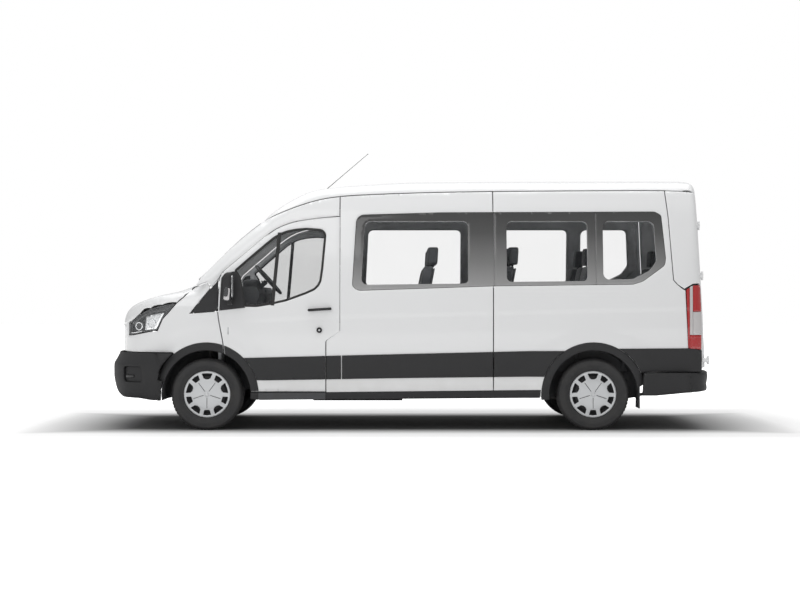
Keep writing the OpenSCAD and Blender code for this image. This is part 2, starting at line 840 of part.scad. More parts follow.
// The subframe, lower arms and struts; the pins stand on the kingpin axes
module front_axle() {
    color("dimgray") {
        block(axle_f - 90, axle_f + 90, -rail_y - 20, rail_y + 20, 250, 320);
        on_both_sides() {
            block(axle_f - 30, axle_f + 30, rail_y - 20, rail_y + 20, 310, rail_top - rail_h);
            block(axle_f - 28, axle_f + 28, rail_y, king(215)[1] + 20, 190, 218);
            block(axle_f - 80, axle_f + 80, rail_y - 30, rail_y + 30, 190, 260);
            bar(king(205), king(270), 12);
            bar(king(480), king(505), 12);
            bar(king(500), king(900), 22);
            block(axle_f - 60, axle_f + 60, rail_y - 30, king(890)[1] + 60, 880, 900);
            block(axle_f - 60, axle_f + 60, rail_y - 30, rail_y + 30, rail_top, 890);
        }
    }
}

// The upright that turns on the kingpins and carries the stub axle
module knuckle() {
    difference() {
        union() {
            bar(king(235), king(300), 26);
            bar(king(420), king(484), 26);
            hull_free_upright();
            translate([axle_f, king_y - 20, tyre_r]) rotate([-90, 0, 0]) cylinder(h = 60, r = 48);
            translate([axle_f, king_y, tyre_r]) rotate([-90, 0, 0]) cylinder(h = track_f / 2 + 70 - king_y, r = stub_r);
        }
        bar(king(225), king(275), 12 + run);
        bar(king(478), king(500), 12 + run);
    }
}

module hull_free_upright() {
    translate([axle_f, king_y - 8, tyre_r]) rotate([kpi, 0, 0])
        translate([-40, -20, -70]) cube([80, 34, 160]);
}

module left_knuckle() {
    color("dimgray") mirror([0, 1, 0]) knuckle();
}

module right_knuckle() {
    color("dimgray") knuckle();
}

beam_r = 45;
spring_y = 590;

// The beam with its stub axles, and a leaf spring each side
module rear_axle() {
    color("dimgray") {
        translate([axle_r, 0, tyre_r]) rotate([90, 0, 0]) cylinder(h = track_r - 2 * 75, r = beam_r, center = true);
        translate([axle_r, 0, tyre_r]) rotate([90, 0, 0]) cylinder(h = track_r + 140, r = stub_r, center = true);
        on_both_sides() leaf_spring();
    }
}

spring_l = 1300;
spring_sag = 90;
spring_bow_r = (spring_l * spring_l / 4 + spring_sag * spring_sag) / (2 * spring_sag);

module leaf_spring() {
    arc_z = tyre_r - beam_r - 24 + spring_bow_r;
    intersection() {
        along_y(spring_y - 35, spring_y + 35) difference() {
            translate([axle_r, arc_z]) circle(r = spring_bow_r + 24, $fn = 180);
            translate([axle_r, arc_z]) circle(r = spring_bow_r, $fn = 180);
        }
        block(axle_r - spring_l / 2, axle_r + spring_l / 2, 0, far, 0, tyre_r + 300);
    }
    for (s = [-1, 1])
        block(axle_r + s * (spring_l / 2 - 20) - 20, axle_r + s * (spring_l / 2 - 20) + 20,
              rail_y + rail_w / 2, spring_y + 35, tyre_r - beam_r - 24 + spring_sag - 10, rail_top);
    block(axle_r - 50, axle_r + 50, spring_y - 35, spring_y + 35, tyre_r - beam_r - 26, tyre_r - 20);
}

module fuel_tank() {
    color([0.1, 0.1, 0.1]) block(axle_f + 1000, axle_f + 1900, -rail_y + 35, rail_y - 260, 250, rail_top - 80);
}

module exhaust() {
    color("silver") {
        bar([axle_f + 300, 300, 330], [axle_r - 1100, 300, 330], 28);
        bar([axle_r - 1120, 300, 330], [axle_r - 500, 300, 330], 90);
        bar([axle_r - 520, 300, 330], [axle_r - 300, 300, 250], 28);
        for (x = [axle_f + 720, axle_r - 780]) block(x, x + 30, 290, 310, 340, rail_top - 80);
    }
}

// ---- Doors ----

// A cab door on the right side, with its hinge eyes
module cab_door() {
    difference() {
        union() {
            intersection() {
                cabin_layer(0, sheet);
                along_y(0, far) cab_door_outline(0);
            }
            intersection() {
                cabin_layer(0, wall);
                along_y(0, far) intersection() {
                    cab_door_outline(0);
                    union() {
                        translate([hinge_x + 20, 0]) square([far, far]);
                        translate([axle_f, 1480]) square([far, far]);
                    }
                }
            }
            intersection() {
                cabin_layer(-moulding_t, 0);
                along_y(0, far) intersection() {
                    cab_door_outline(-1);
                    union() {
                        flare_ring(axle_f);
                        moulding_outline();
                    }
                }
            }
            for (z = hinge_heights) hinge_eye(z);
        }
        along_y(0, far) cab_window_outline(-12);
        difference() {
            along_y(0, far) cab_window_outline(8);
            cabin_solid(glass_t);
        }
        for (z = hinge_heights) translate([hinge_x, door_axis_y, z - 60]) cylinder(h = 120, r = pin_r + run);
    }
}

module hinge_eye(z) {
    translate([hinge_x, door_axis_y, z - hinge_h / 2]) cylinder(h = hinge_h, r = pin_r + knuckle_wall);
    block(hinge_x, hinge_x + 24, door_axis_y - 8, door_axis_y + 8, z - hinge_h / 2, z + hinge_h / 2);
}

module cab_glass() {
    intersection() {
        cabin_layer(0, glass_t);
        along_y(0, far) cab_window_outline(7.7);
    }
}

// The mirror: an arm from the door's black corner, and the head
module mirror_unit() {
    color([0.06, 0.06, 0.06]) difference() {
        union() {
            block(hinge_x + 20, hinge_x + 85, side_y - 60, side_y + 80, 1225, 1300);
            block(hinge_x - 22, hinge_x + 76, side_y + 70, mirror_y, 1225, 1532);
        }
        cabin_solid(0);
    }
}

mirror_y = half_w + 207.5;

module left_cab_door() {
    color("white") mirror([0, 1, 0]) cab_door();
}

module right_cab_door() {
    color("white") cab_door();
}

module left_cab_glass() {
    color([0.2, 0.23, 0.25, 0.6]) mirror([0, 1, 0]) cab_glass();
}

module right_cab_glass() {
    color([0.2, 0.23, 0.25, 0.6]) cab_glass();
}

module left_mirror() {
    mirror([0, 1, 0]) mirror_unit();
}

module right_mirror() {
    mirror_unit();
}

// The frame of a rear hinge: z along the hinge axis, x off the body skin, y towards the outside
rear_axis_x = tail_x - 120 + rear_hinge_out;
rear_axis_z = lean_z;

module on_rear_axis() {
    translate([rear_axis_x, rear_edge(rear_axis_z) + 14, rear_axis_z])
        rotate([atan(rear_slant), -atan(lean), 0]) children();
}

// Height along the axis, and how deep the corner's ears reach to the body skin
rear_hinges = [[-220, 64], [600, 20], [1090, 20]];
rear_hinge_h = 60;

// The corner's half of the rear hinges
module rear_hinge_pins() {
    on_rear_axis() for (h = rear_hinges) {
        for (dz = [-rear_hinge_h / 2 - 26, rear_hinge_h / 2 + 1]) {
            translate([0, 0, h[0] + dz]) cylinder(h = 25, r = pin_r + knuckle_wall);
            translate([-rear_hinge_out - h[1], 3, h[0] + dz]) cube([rear_hinge_out + h[1] + 4, 7, 25]);
        }
        translate([0, 0, h[0] - rear_hinge_h / 2 - 26]) cylinder(h = rear_hinge_h + 52, r = pin_r);
    }
}

module rear_hinge_eyes() {
    on_rear_axis() for (h = rear_hinges) {
        translate([0, 0, h[0] - rear_hinge_h / 2]) cylinder(h = rear_hinge_h, r = pin_r + knuckle_wall);
        translate([-4, -60, h[0] - rear_hinge_h / 2]) cube([8, 60, rear_hinge_h]);
        translate([-rear_hinge_out - 20, -60, h[0] - rear_hinge_h / 2]) cube([rear_hinge_out + 22, 30, rear_hinge_h]);
    }
}

module rear_door() {
    difference() {
        union() {
            intersection() {
                cabin_layer(0, wall);
                along_x(opening_x, far) difference() {
                    rear_opening_outline(door_gap);
                    translate([-10, 0]) square([14, far]);
                }
            }
            rear_hinge_eyes();
        }
        along_x(opening_x, far) rear_window_outline(-15);
        difference() {
            along_x(opening_x, far) rear_window_outline(8);
            cabin_solid(glass_t);
        }
        on_rear_axis() translate([0, 0, -400]) cylinder(h = 1700, r = pin_r + run);
    }
}

module rear_glass() {
    intersection() {
        cabin_layer(0, glass_t);
        along_x(opening_x, far) rear_window_outline(7.7);
    }
}

module left_rear_door() {
    color("white") mirror([0, 1, 0]) rear_door();
}

module right_rear_door() {
    color("white") rear_door();
}

module left_rear_glass() {
    color([0.2, 0.23, 0.25, 0.6]) mirror([0, 1, 0]) rear_glass();
}

module right_rear_glass() {
    color([0.2, 0.23, 0.25, 0.6]) rear_glass();
}

// ---- Wheels ----

// A tyre's section, turned round the Y axis at the wheel's middle
module tyre(x, y) {
    shoulder = 30;
    color([0.1, 0.1, 0.1]) translate([x, y, tyre_r]) rotate([90, 0, 0]) rotate_extrude($fn = 96)
        polygon([[rim_r, -tyre_w / 2 + 20], [rim_r + 30, -tyre_w / 2], [tyre_r - 55, -tyre_w / 2],
                 [tyre_r - 12, -tyre_w / 2 + 14], [tyre_r, -tyre_w / 2 + shoulder],
                 [tyre_r, tyre_w / 2 - shoulder], [tyre_r - 12, tyre_w / 2 - 14],
                 [tyre_r - 55, tyre_w / 2], [rim_r + 30, tyre_w / 2], [rim_r, tyre_w / 2 - 20]]);
}

hub_out = 62;

// A wheel: rim barrel, disc with ten windows, hub bore on the stub axle; out is +1 or -1
module wheel(x, y, out) {
    color("silver") translate([x, y, tyre_r]) rotate([-90 * out, 0, 0]) difference() {
        rotate_extrude($fn = 96) polygon([[stub_r + run, hub_out - 20], [rim_r - 26, hub_out - 20],
            [rim_r - 26, -tyre_w / 2 + 22], [rim_r, -tyre_w / 2 + 22], [rim_r, tyre_w / 2 - 22],
            [rim_r - 12, tyre_w / 2 - 6], [rim_r - 22, tyre_w / 2 - 12], [rim_r - 26, hub_out + 8],
            [70, hub_out + 16], [60, hub_out + 30], [stub_r + run, hub_out + 30]]);
        for (i = [0 : 9]) rotate([0, 0, i * 36]) translate([rim_r - 52, 0, hub_out - 30]) cylinder(h = 70, r = 17);
    }
}

module front_left_tyre() tyre(axle_f, -track_f / 2);
module front_right_tyre() tyre(axle_f, track_f / 2);
module rear_left_tyre() tyre(axle_r, -track_r / 2);
module rear_right_tyre() tyre(axle_r, track_r / 2);
module front_left_wheel() wheel(axle_f, -track_f / 2, -1);
module front_right_wheel() wheel(axle_f, track_f / 2, 1);
module rear_left_wheel() wheel(axle_r, -track_r / 2, -1);
module rear_right_wheel() wheel(axle_r, track_r / 2, 1);

floor_pan();
chassis_rails();
cab_frame();
roof_panel();
left_side_panel();
right_side_panel();
sliding_door();
wings();
front_bumper();
grille();
headlamps();
windscreen();
side_glass();
tail_lamps();
rear_bumper();
side_mouldings();
mudflaps();
antenna();
dashboard();
steering_wheel();
front_seats();
passenger_seats();
engine_block();
front_axle();
rear_axle();
fuel_tank();
exhaust();
left_knuckle();
right_knuckle();
bonnet();
left_cab_door();
right_cab_door();
left_cab_glass();
right_cab_glass();
left_mirror();
right_mirror();
left_rear_door();
right_rear_door();
left_rear_glass();
right_rear_glass();
front_left_tyre();
front_right_tyre();
rear_left_tyre();
rear_right_tyre();
front_left_wheel();
front_right_wheel();
rear_left_wheel();
rear_right_wheel();
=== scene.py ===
"""Looks of a high-roof passenger van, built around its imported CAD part.

Sizes are in millimetres until a mesh is made, which is in metres.
x runs from nose to tail, y to the van's right, z up.
"""

import math

import bpy
import bmesh
import numpy as np
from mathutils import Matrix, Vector
from mathutils.geometry import delaunay_2d_cdt


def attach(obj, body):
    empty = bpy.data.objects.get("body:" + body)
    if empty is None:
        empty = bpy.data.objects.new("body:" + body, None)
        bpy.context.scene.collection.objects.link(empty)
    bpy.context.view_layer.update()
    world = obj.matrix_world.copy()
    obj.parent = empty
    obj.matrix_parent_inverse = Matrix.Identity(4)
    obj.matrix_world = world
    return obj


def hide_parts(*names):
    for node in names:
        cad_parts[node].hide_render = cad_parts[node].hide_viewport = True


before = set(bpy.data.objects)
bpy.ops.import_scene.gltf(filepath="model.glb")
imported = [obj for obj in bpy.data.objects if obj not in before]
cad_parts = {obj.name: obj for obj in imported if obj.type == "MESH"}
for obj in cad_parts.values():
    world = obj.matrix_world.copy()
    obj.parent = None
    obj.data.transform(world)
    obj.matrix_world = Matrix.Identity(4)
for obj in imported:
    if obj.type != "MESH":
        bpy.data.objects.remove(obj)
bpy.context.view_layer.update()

# ---- Driving sizes, the same as the CAD part's ----

AXLE_F, AXLE_R = -1967.5, 1782.5
NOSE, TAIL = -2990.5, 2990.5
HALF_W, SIDE, ROOF = 1029.5, 1017.5, 2480.0
TYRE_R, RIM_R = 348.0, 212.0
TRACK_F, TRACK_R = 1732.0, 1743.0
ARCH_R, FLARE_W = 432.0, 74.0
PILLAR_X, SLIDE_END = -677.5, 813.5
FLOOR_Z = 590.0
GAP = 4.5
GRID = 24
FAR = 4000.0


def arr(points):
    return np.array(points, float)


# ---- Lines ----


def smooth_line(points, per=10):
    """A centripetal curve through the points."""
    p = arr(points)
    p = np.vstack([2 * p[0] - p[1], p, 2 * p[-1] - p[-2]])
    out = []
    for i in range(1, len(p) - 2):
        a, b, c, d = p[i - 1 : i + 3]
        t1 = np.linalg.norm(b - a) ** 0.5
        t2 = t1 + np.linalg.norm(c - b) ** 0.5
        t3 = t2 + np.linalg.norm(d - c) ** 0.5
        t = np.linspace(t1, t2, per, endpoint=False)[:, None]
        ab = (t1 - t) / t1 * a + t / t1 * b
        bc = (t2 - t) / (t2 - t1) * b + (t - t1) / (t2 - t1) * c
        cd = (t3 - t) / (t3 - t2) * c + (t - t2) / (t3 - t2) * d
        abc = (t2 - t) / t2 * ab + t / t2 * bc
        bcd = (t3 - t) / (t3 - t1) * bc + (t - t1) / (t3 - t1) * cd
        out.append((t2 - t) / (t2 - t1) * abc + (t - t1) / (t2 - t1) * bcd)
    return np.vstack(out + [p[-2:-1]])


def dense(loop, step, closed=True):
    """The same line with points no further apart than step."""
    p = arr(loop)
    out = []
    n = len(p) if closed else len(p) - 1
    for i in range(n):
        a, b = p[i], p[(i + 1) % len(p)]
        k = max(1, int(math.ceil(np.linalg.norm(b - a) / step)))
        out.append(a + (b - a) * (np.arange(k) / k)[:, None])
    if not closed:
        out.append(p[-1:])
    return np.vstack(out)


def fillet(points, radii):
    """A closed outline with round corners; radii is one number or one for each corner."""
    p = arr(points)
    n = len(p)
    radii = [radii] * n if np.isscalar(radii) else radii
    out = []
    for i in range(n):
        a, b, c = p[i - 1], p[i], p[(i + 1) % n]
        u, v = a - b, c - b
        lu, lv = np.linalg.norm(u), np.linalg.norm(v)
        u, v = u / lu, v / lv
        half = math.acos(max(-1, min(1, float(u @ v)))) / 2
        if radii[i] <= 0 or half > 1.54:
            out.append(b)
            continue
        cut = min(radii[i] / math.tan(half), 0.47 * lu, 0.47 * lv)
        r = cut * math.tan(half)
        mid = (u + v) / np.linalg.norm(u + v)
        centre = b + mid * (r / math.sin(half))
        s, e = b + u * cut - centre, b + v * cut - centre
        a0, a1 = math.atan2(s[1], s[0]), math.atan2(e[1], e[0])
        turn = (a1 - a0 + math.pi) % (2 * math.pi) - math.pi
        k = max(3, int(abs(turn) / 0.2) + 2)
        for t in np.linspace(0, 1, k):
            ang = a0 + turn * t
            out.append(centre + r * arr([math.cos(ang), math.sin(ang)]))
    return arr(out)


def area(p):
    x, y = p[:, 0], p[:, 1]
    return 0.5 * float(np.sum(x * np.roll(y, -1) - np.roll(x, -1) * y))


def left_hand(loop):
    """The loop turned anticlockwise."""
    p = arr(loop)
    return p if area(p) > 0 else p[::-1].copy()


def grown(loop, d):
    """A loop moved outwards by d, with mitred corners."""
    p = left_hand(loop)
    keep = np.linalg.norm(p - np.roll(p, 1, 0), axis=1) > 1e-6
    p = p[keep]
    e0 = p - np.roll(p, 1, 0)
    e1 = np.roll(p, -1, 0) - p
    n0 = np.stack([e0[:, 1], -e0[:, 0]], 1) / np.linalg.norm(e0, axis=1)[:, None]
    n1 = np.stack([e1[:, 1], -e1[:, 0]], 1) / np.linalg.norm(e1, axis=1)[:, None]
    m = n0 + n1
    m /= np.maximum(np.linalg.norm(m, axis=1), 1e-6)[:, None]
    cosine = np.maximum(np.sum(m * n0, axis=1), 0.45)
    return p + m * (d / cosine)[:, None]


def inside(loop, q):
    """Which of the points q are inside the loop."""
    p = arr(loop)
    hit = np.zeros(len(q), bool)
    x, y = q[:, 0], q[:, 1]
    for i in range(len(p)):
        (ax, ay), (bx, by) = p[i - 1], p[i]
        if ay == by:
            continue
        cross = (ay > y) != (by > y)
        hit ^= cross & (x < (bx - ax) * (y - ay) / (by - ay) + ax)
    return hit


def away(loop, q):
    """The distance from each point of q to the loop."""
    p = arr(loop)
    best = np.full(len(q), 1e9)
    for i in range(len(p)):
        a, b = p[i - 1], p[i]
        d = b - a
        w = q - a
        t = np.clip(w @ d / max(d @ d, 1e-9), 0, 1)
        best = np.minimum(best, np.sum((w - t[:, None] * d) ** 2, axis=1))
    return np.sqrt(best)


def ramp(x, a, b):
    """0 before a, 1 after b, smooth between."""
    t = np.clip((x - a) / (b - a), 0, 1)
    return t * t * (3 - 2 * t)


# ---- The body's surface: where four smooth outlines meet ----


class Outline:
    """Distance to a closed outline, negative inside, kept in a table."""

    def __init__(self, loop, low, high, cell=15.0):
        self.low, self.cell = arr(low), cell
        nu, nv = [int((h - l) / cell) + 4 for l, h in zip(low, high)]
        self.shape = (nu, nv)
        u = low[0] + (np.arange(nu) - 1) * cell
        v = low[1] + (np.arange(nv) - 1) * cell
        q = np.stack(np.meshgrid(u, v, indexing="ij"), -1).reshape(-1, 2)
        d = away(loop, q)
        self.table = np.where(inside(loop, q), -d, d)

    def at(self, u, v):
        nu, nv = self.shape
        fu = np.clip((u - self.low[0]) / self.cell + 1, 1, nu - 2.001)
        fv = np.clip((v - self.low[1]) / self.cell + 1, 1, nv - 2.001)
        iu, iv = fu.astype(int), fv.astype(int)
        tu, tv = fu - iu, fv - iv

        def weights(t):
            return (
                -0.5 * t + t * t - 0.5 * t**3,
                1 - 2.5 * t * t + 1.5 * t**3,
                0.5 * t + 2 * t * t - 1.5 * t**3,
                -0.5 * t * t + 0.5 * t**3,
            )

        wu, wv = weights(tu), weights(tv)
        total = 0
        for i in range(4):
            row = (iu + i - 1) * nv + iv - 1
            total = total + wu[i] * sum(wv[j] * self.table[row + j] for j in range(4))
        return total


NOSE_LINE = [[-931, 560], [-932, 800], [-931, 1000], [-915, 1075], [-870, 1150], [-800, 1208],
             [-700, 1254],
             [-547, 1301], [-402, 1333], [-291, 1366], [-190, 1414], [-128, 1462]]
SCREEN_LINE = [[-110, 1480], [-40, 1544], [260, 1833], [480, 2012]]
ROOF_LINE = [[520, 442], [570, 390], [695, 295], [820, 222], [944, 160], [1068, 124], [1254, 94],
             [1600, 58],
             [1930, 26], [2300, 15], [3000, 7], [3900, 1]]
TAIL_LINE = [[-420, 0], [-330, 2], [-255, 14], [-205, 42], [-175, 95], [-160, 160]]


def centre_line():
    front = [[AXLE_F + x, z] for x, z in NOSE_LINE]
    screen = [[AXLE_F + x, z] for x, z in SCREEN_LINE]
    roof = [[AXLE_F + x, ROOF - d] for x, d in ROOF_LINE]
    back = [[TAIL + x, ROOF - d] for x, d in TAIL_LINE]
    return np.vstack([
        smooth_line(front), smooth_line(screen + roof + back),
        smooth_line([[TAIL - 118, 1500], [TAIL - 96, 1000], [TAIL - 90, 700], [TAIL - 90, 300]]),
    ])


CENTRE = centre_line()
SIDE_IN = [[26, 250], [22, 300], [6, 450], [0, 620], [0, 1000], [9, 1150], [18, 1300]]
CAB_IN = [[28, 1020], [62, 700], [112, 360], [143, 235], [168, 154], [215, 86], [330, 38], [560, 10],
          [900, 1]]
NOSE_IN = [[28, 1235], [60, 1310], [130, 1372], [260, 1420], [480, 1452], [800, 1478]]


def section(upper):
    half = smooth_line([[SIDE - d, z] for d, z in SIDE_IN] + upper + [[0, upper[-1][1]]])
    half = np.vstack([[[SIDE - 26, -500]], half])
    return np.vstack([half, half[::-1] * [-1, 1]])


FRONT_IN = [[-931, 1017], [-928, 850], [-915, 640], [-895, 520], [-850, 395], [-800, 300], [-740, 215],
            [-660, 146],
            [-560, 96], [-430, 55], [-300, 28], [-120, 8], [60, 0]]
REAR_IN = [[-560, 0], [-330, 10], [-230, 26], [-180, 44], [-150, 66], [-130, 95], [-112, 160],
           [-100, 300],
           [-88, 560], [-82, 1017]]
front_half = smooth_line([[AXLE_F + x, SIDE - d] for x, d in FRONT_IN])
rear_half = smooth_line([[TAIL + x, SIDE - d] for x, d in REAR_IN])
front_plan = np.vstack([front_half, [[FAR, SIDE], [FAR, -SIDE]], front_half[::-1] * [1, -1]])
rear_plan = np.vstack([[[-FAR, SIDE]], rear_half, rear_half[::-1] * [1, -1], [[-FAR, -SIDE]]])
side_view = np.vstack([CENTRE, [[TAIL - 90, -600], [AXLE_F - 931, -600]]])

SIDE_VIEW = Outline(side_view, (-3150, 150), (3150, 2600))
CAB_VIEW = Outline(section([[SIDE - d, ROOF - z] for d, z in CAB_IN]), (0, 150), (1200, 2600))
NOSE_VIEW = Outline(section([[SIDE - d, z] for d, z in NOSE_IN]), (0, 150), (1200, 1700))
FRONT_VIEW = Outline(front_plan, (-3150, 0), (400, 1200))
REAR_VIEW = Outline(rear_plan, (1200, 0), (3200, 1200))
LEAN = 0.055


def soft(a, b, k):
    """The greater of two distances, with a round edge where they meet."""
    return np.maximum(a, b) + np.maximum(k - np.abs(a - b), 0) ** 2 / (4 * k)


def pressed(x, z):
    """How far the sheet is pressed in: shoulder line, lower field, arch brows, grip dish, rail groove."""
    top = np.interp(x, [-1850, -1062, -92, 2572], [1072, 1111, 1138, 1199])
    d = 9 * ramp(-z, -top, -(top - 48)) * ramp(x, -2000, -1150) * ramp(-x, -2780, -2640)
    low = np.interp(x, [-1700, -92, 2700], [925, 940, 1000])
    field = ramp(-z, -low, -(low - 112)) * ramp(x, -1560, -1430)
    away_r = np.hypot(x - AXLE_R, z - TYRE_R)
    away_f = np.hypot(x - AXLE_F, z - TYRE_R)
    d = d + 12 * field * ramp(away_r, 600, 690) * ramp(away_f, 600, 700)
    brow = np.exp(-(((away_f - 615) / 46) ** 2)) * ramp(z, 420, 620)
    d = d + 4 * brow * ramp(-x, 1400, 1600) * ramp(x, -2560, -2380)
    rail = ramp(x, 826, 850) * ramp(-x, -2335, -2300)
    middle = np.interp(x, [847, 2311], [1322, 1336])
    d = d + 9 * np.exp(-((np.abs((x + 892) / 60) ** 3 + np.abs((z - 1182) / 30) ** 3)))
    d = d + 5 * rail * np.exp(-(((z - middle) / 9) ** 4))
    d = d + 2.5 * rail * np.exp(-(((z - middle + 66) / 12) ** 4))
    return d


def roof_ribs(x, y):
    run = ramp(x, -820, -560) * ramp(-x, -2560, -2380)
    wave = sum(np.exp(-(((np.abs(y) - c) / 21) ** 4)) for c in (150, 420, 660))
    return -5.0 * run * wave


def cab_shape(x, y, z):
    y = np.abs(y)
    a = SIDE_VIEW.at(x - 26 * (y / 850) ** 2 * ramp(-x, -400, 900),
                     z - roof_ribs(x, y) * ramp(z, 2350, 2420))
    b = CAB_VIEW.at(y + pressed(x, z) * ramp(y, 820, 900), z)
    c = FRONT_VIEW.at(x, y)
    d = REAR_VIEW.at(x + (z - 900) * LEAN, y)
    return soft(soft(soft(a, b, 110), c, 30), d, 40)


def nose_shape(x, y, z):
    y = np.abs(y)
    a = SIDE_VIEW.at(x - 60 * (y / 850) ** 2, z)
    hump = 7 * np.exp(-(((y - 430 - (x + 2800) * 0.16) / 60) ** 2)) * ramp(-x, 2180, 2450) * ramp(z,
            1100, 1180)
    b = NOSE_VIEW.at(y + pressed(x, z) * ramp(y, 820, 900), z - hump)
    c = FRONT_VIEW.at(x, y)
    return soft(soft(a - hump, b, 80), c, 70)


def whole_shape(x, y, z):
    """The nose in front of the screen's foot, the cab behind it."""
    w = ramp(x, AXLE_F - 160, AXLE_F + 60)
    return nose_shape(x, y, z) * (1 - w) + cab_shape(x, y, z) * w


def shoot(start, way, reach, level, shape):
    """Where rays that come from outside meet the surface that stands level proud of the shape."""
    near, far = np.zeros(len(start)), np.full(len(start), float(reach))
    for _ in range(19):
        t = 0.5 * (near + far)
        p = start + way * t[:, None]
        out = shape(p[:, 0], p[:, 1], p[:, 2]) > level
        near, far = np.where(out, t, near), np.where(out, far, t)
    return start + way * far[:, None]


def slope(p, shape):
    """The outward direction of the shape at p."""
    e = 5.0
    g = []
    for k in range(3):
        hi, lo = p.copy(), p.copy()
        hi[:, k] += e
        lo[:, k] -= e
        g.append(shape(*hi.T) - shape(*lo.T))
    g = np.stack(g, 1)
    return g / np.maximum(np.linalg.norm(g, axis=1), 1e-9)[:, None]


def from_side(shape=cab_shape, level=0.0):
    """Lays an outline of (x, z) on the right side of a shape."""

    def land(uv):
        n = len(uv)
        start = np.stack([uv[:, 0], np.full(n, 1500.0), uv[:, 1]], 1)
        lv = level(uv[:, 0], uv[:, 1]) if callable(level) else level
        p = shoot(start, np.tile([0.0, -1.0, 0.0], (n, 1)), 1480, lv, shape)
        return p, slope(p, shape)

    return land


def from_end(shape, sign, level=0.0):
    """Lays an outline of (y, z) on the front (sign -1) or back (sign 1) of a shape."""

    def land(uv):
        n = len(uv)
        start = np.stack([np.full(n, sign * 3600.0), uv[:, 0], uv[:, 1]], 1)
        p = shoot(start, np.tile([-float(sign), 0.0, 0.0], (n, 1)), 3000, level, shape)
        return p, slope(p, shape)

    return land


CUT = CENTRE[(CENTRE[:, 1] > 900)]
CUT = CUT[CUT[:, 0] < 2860]
cut_len = np.concatenate([[0], np.cumsum(np.linalg.norm(np.diff(CUT, axis=0), axis=1))])


def along_centre(x=None, z=None):
    """How far along the centre line, from the bonnet's lip, a point of it lies."""
    if x is not None:
        return float(np.interp(x, CUT[:, 0], cut_len))
    k = int(np.argmin(np.abs(CUT[:60, 1] - z)))
    return float(cut_len[k])


def from_centre(shape, level=0.0):
    """Lays an outline of (distance along the centre line, y) on the top, square to that line."""
    smooth_x = np.interp(np.arange(0, cut_len[-1], 20), cut_len, CUT[:, 0])
    smooth_z = np.interp(np.arange(0, cut_len[-1], 20), cut_len, CUT[:, 1])
    kernel = np.hanning(17)
    kernel /= kernel.sum()
    gx = np.convolve(np.pad(np.gradient(smooth_x), 8, mode="edge"), kernel, "valid")
    gz = np.convolve(np.pad(np.gradient(smooth_z), 8, mode="edge"), kernel, "valid")

    def land(uv):
        s, y = uv[:, 0], uv[:, 1]
        knots = np.arange(0, cut_len[-1], 20)
        cx, cz = np.interp(s, cut_len, CUT[:, 0]), np.interp(s, cut_len, CUT[:, 1])
        tx, tz = np.interp(s, knots, gx), np.interp(s, knots, gz)
        size = np.hypot(tx, tz)
        nx, nz = -tz / size, tx / size
        start = np.stack([cx + nx * 260, y, cz + nz * 260], 1)
        way = np.stack([-nx, np.zeros(len(s)), -nz], 1)
        p = shoot(start, way, 700, level, shape)
        return p, slope(p, shape)

    return land


# ---- Meshes ----


def new_piece(name, verts, faces, body, materials, node=None, slot=None, faces_mat=None, smooth=True):
    """A finished piece from points in millimetres."""
    mesh = bpy.data.meshes.new(name)
    mesh.from_pydata([tuple(v) for v in np.asarray(verts, float) * 0.001], [],
                     [tuple(f) for f in faces])
    materials = materials if isinstance(materials, (list, tuple)) else [materials]
    for m in materials:
        mesh.materials.append(m)
    if faces_mat is not None:
        mesh.polygons.foreach_set("material_index", np.asarray(faces_mat, np.int32))
    mesh.polygons.foreach_set("use_smooth", [smooth] * len(mesh.polygons))
    mesh.validate()
    shape = bmesh.new()
    shape.from_mesh(mesh)
    bmesh.ops.recalc_face_normals(shape, faces=shape.faces)
    shape.to_mesh(mesh)
    shape.free()
    mesh.update()
    obj = bpy.data.objects.new(name, mesh)
    bpy.context.scene.collection.objects.link(obj)
    settle(obj, body, node, slot)
    return obj


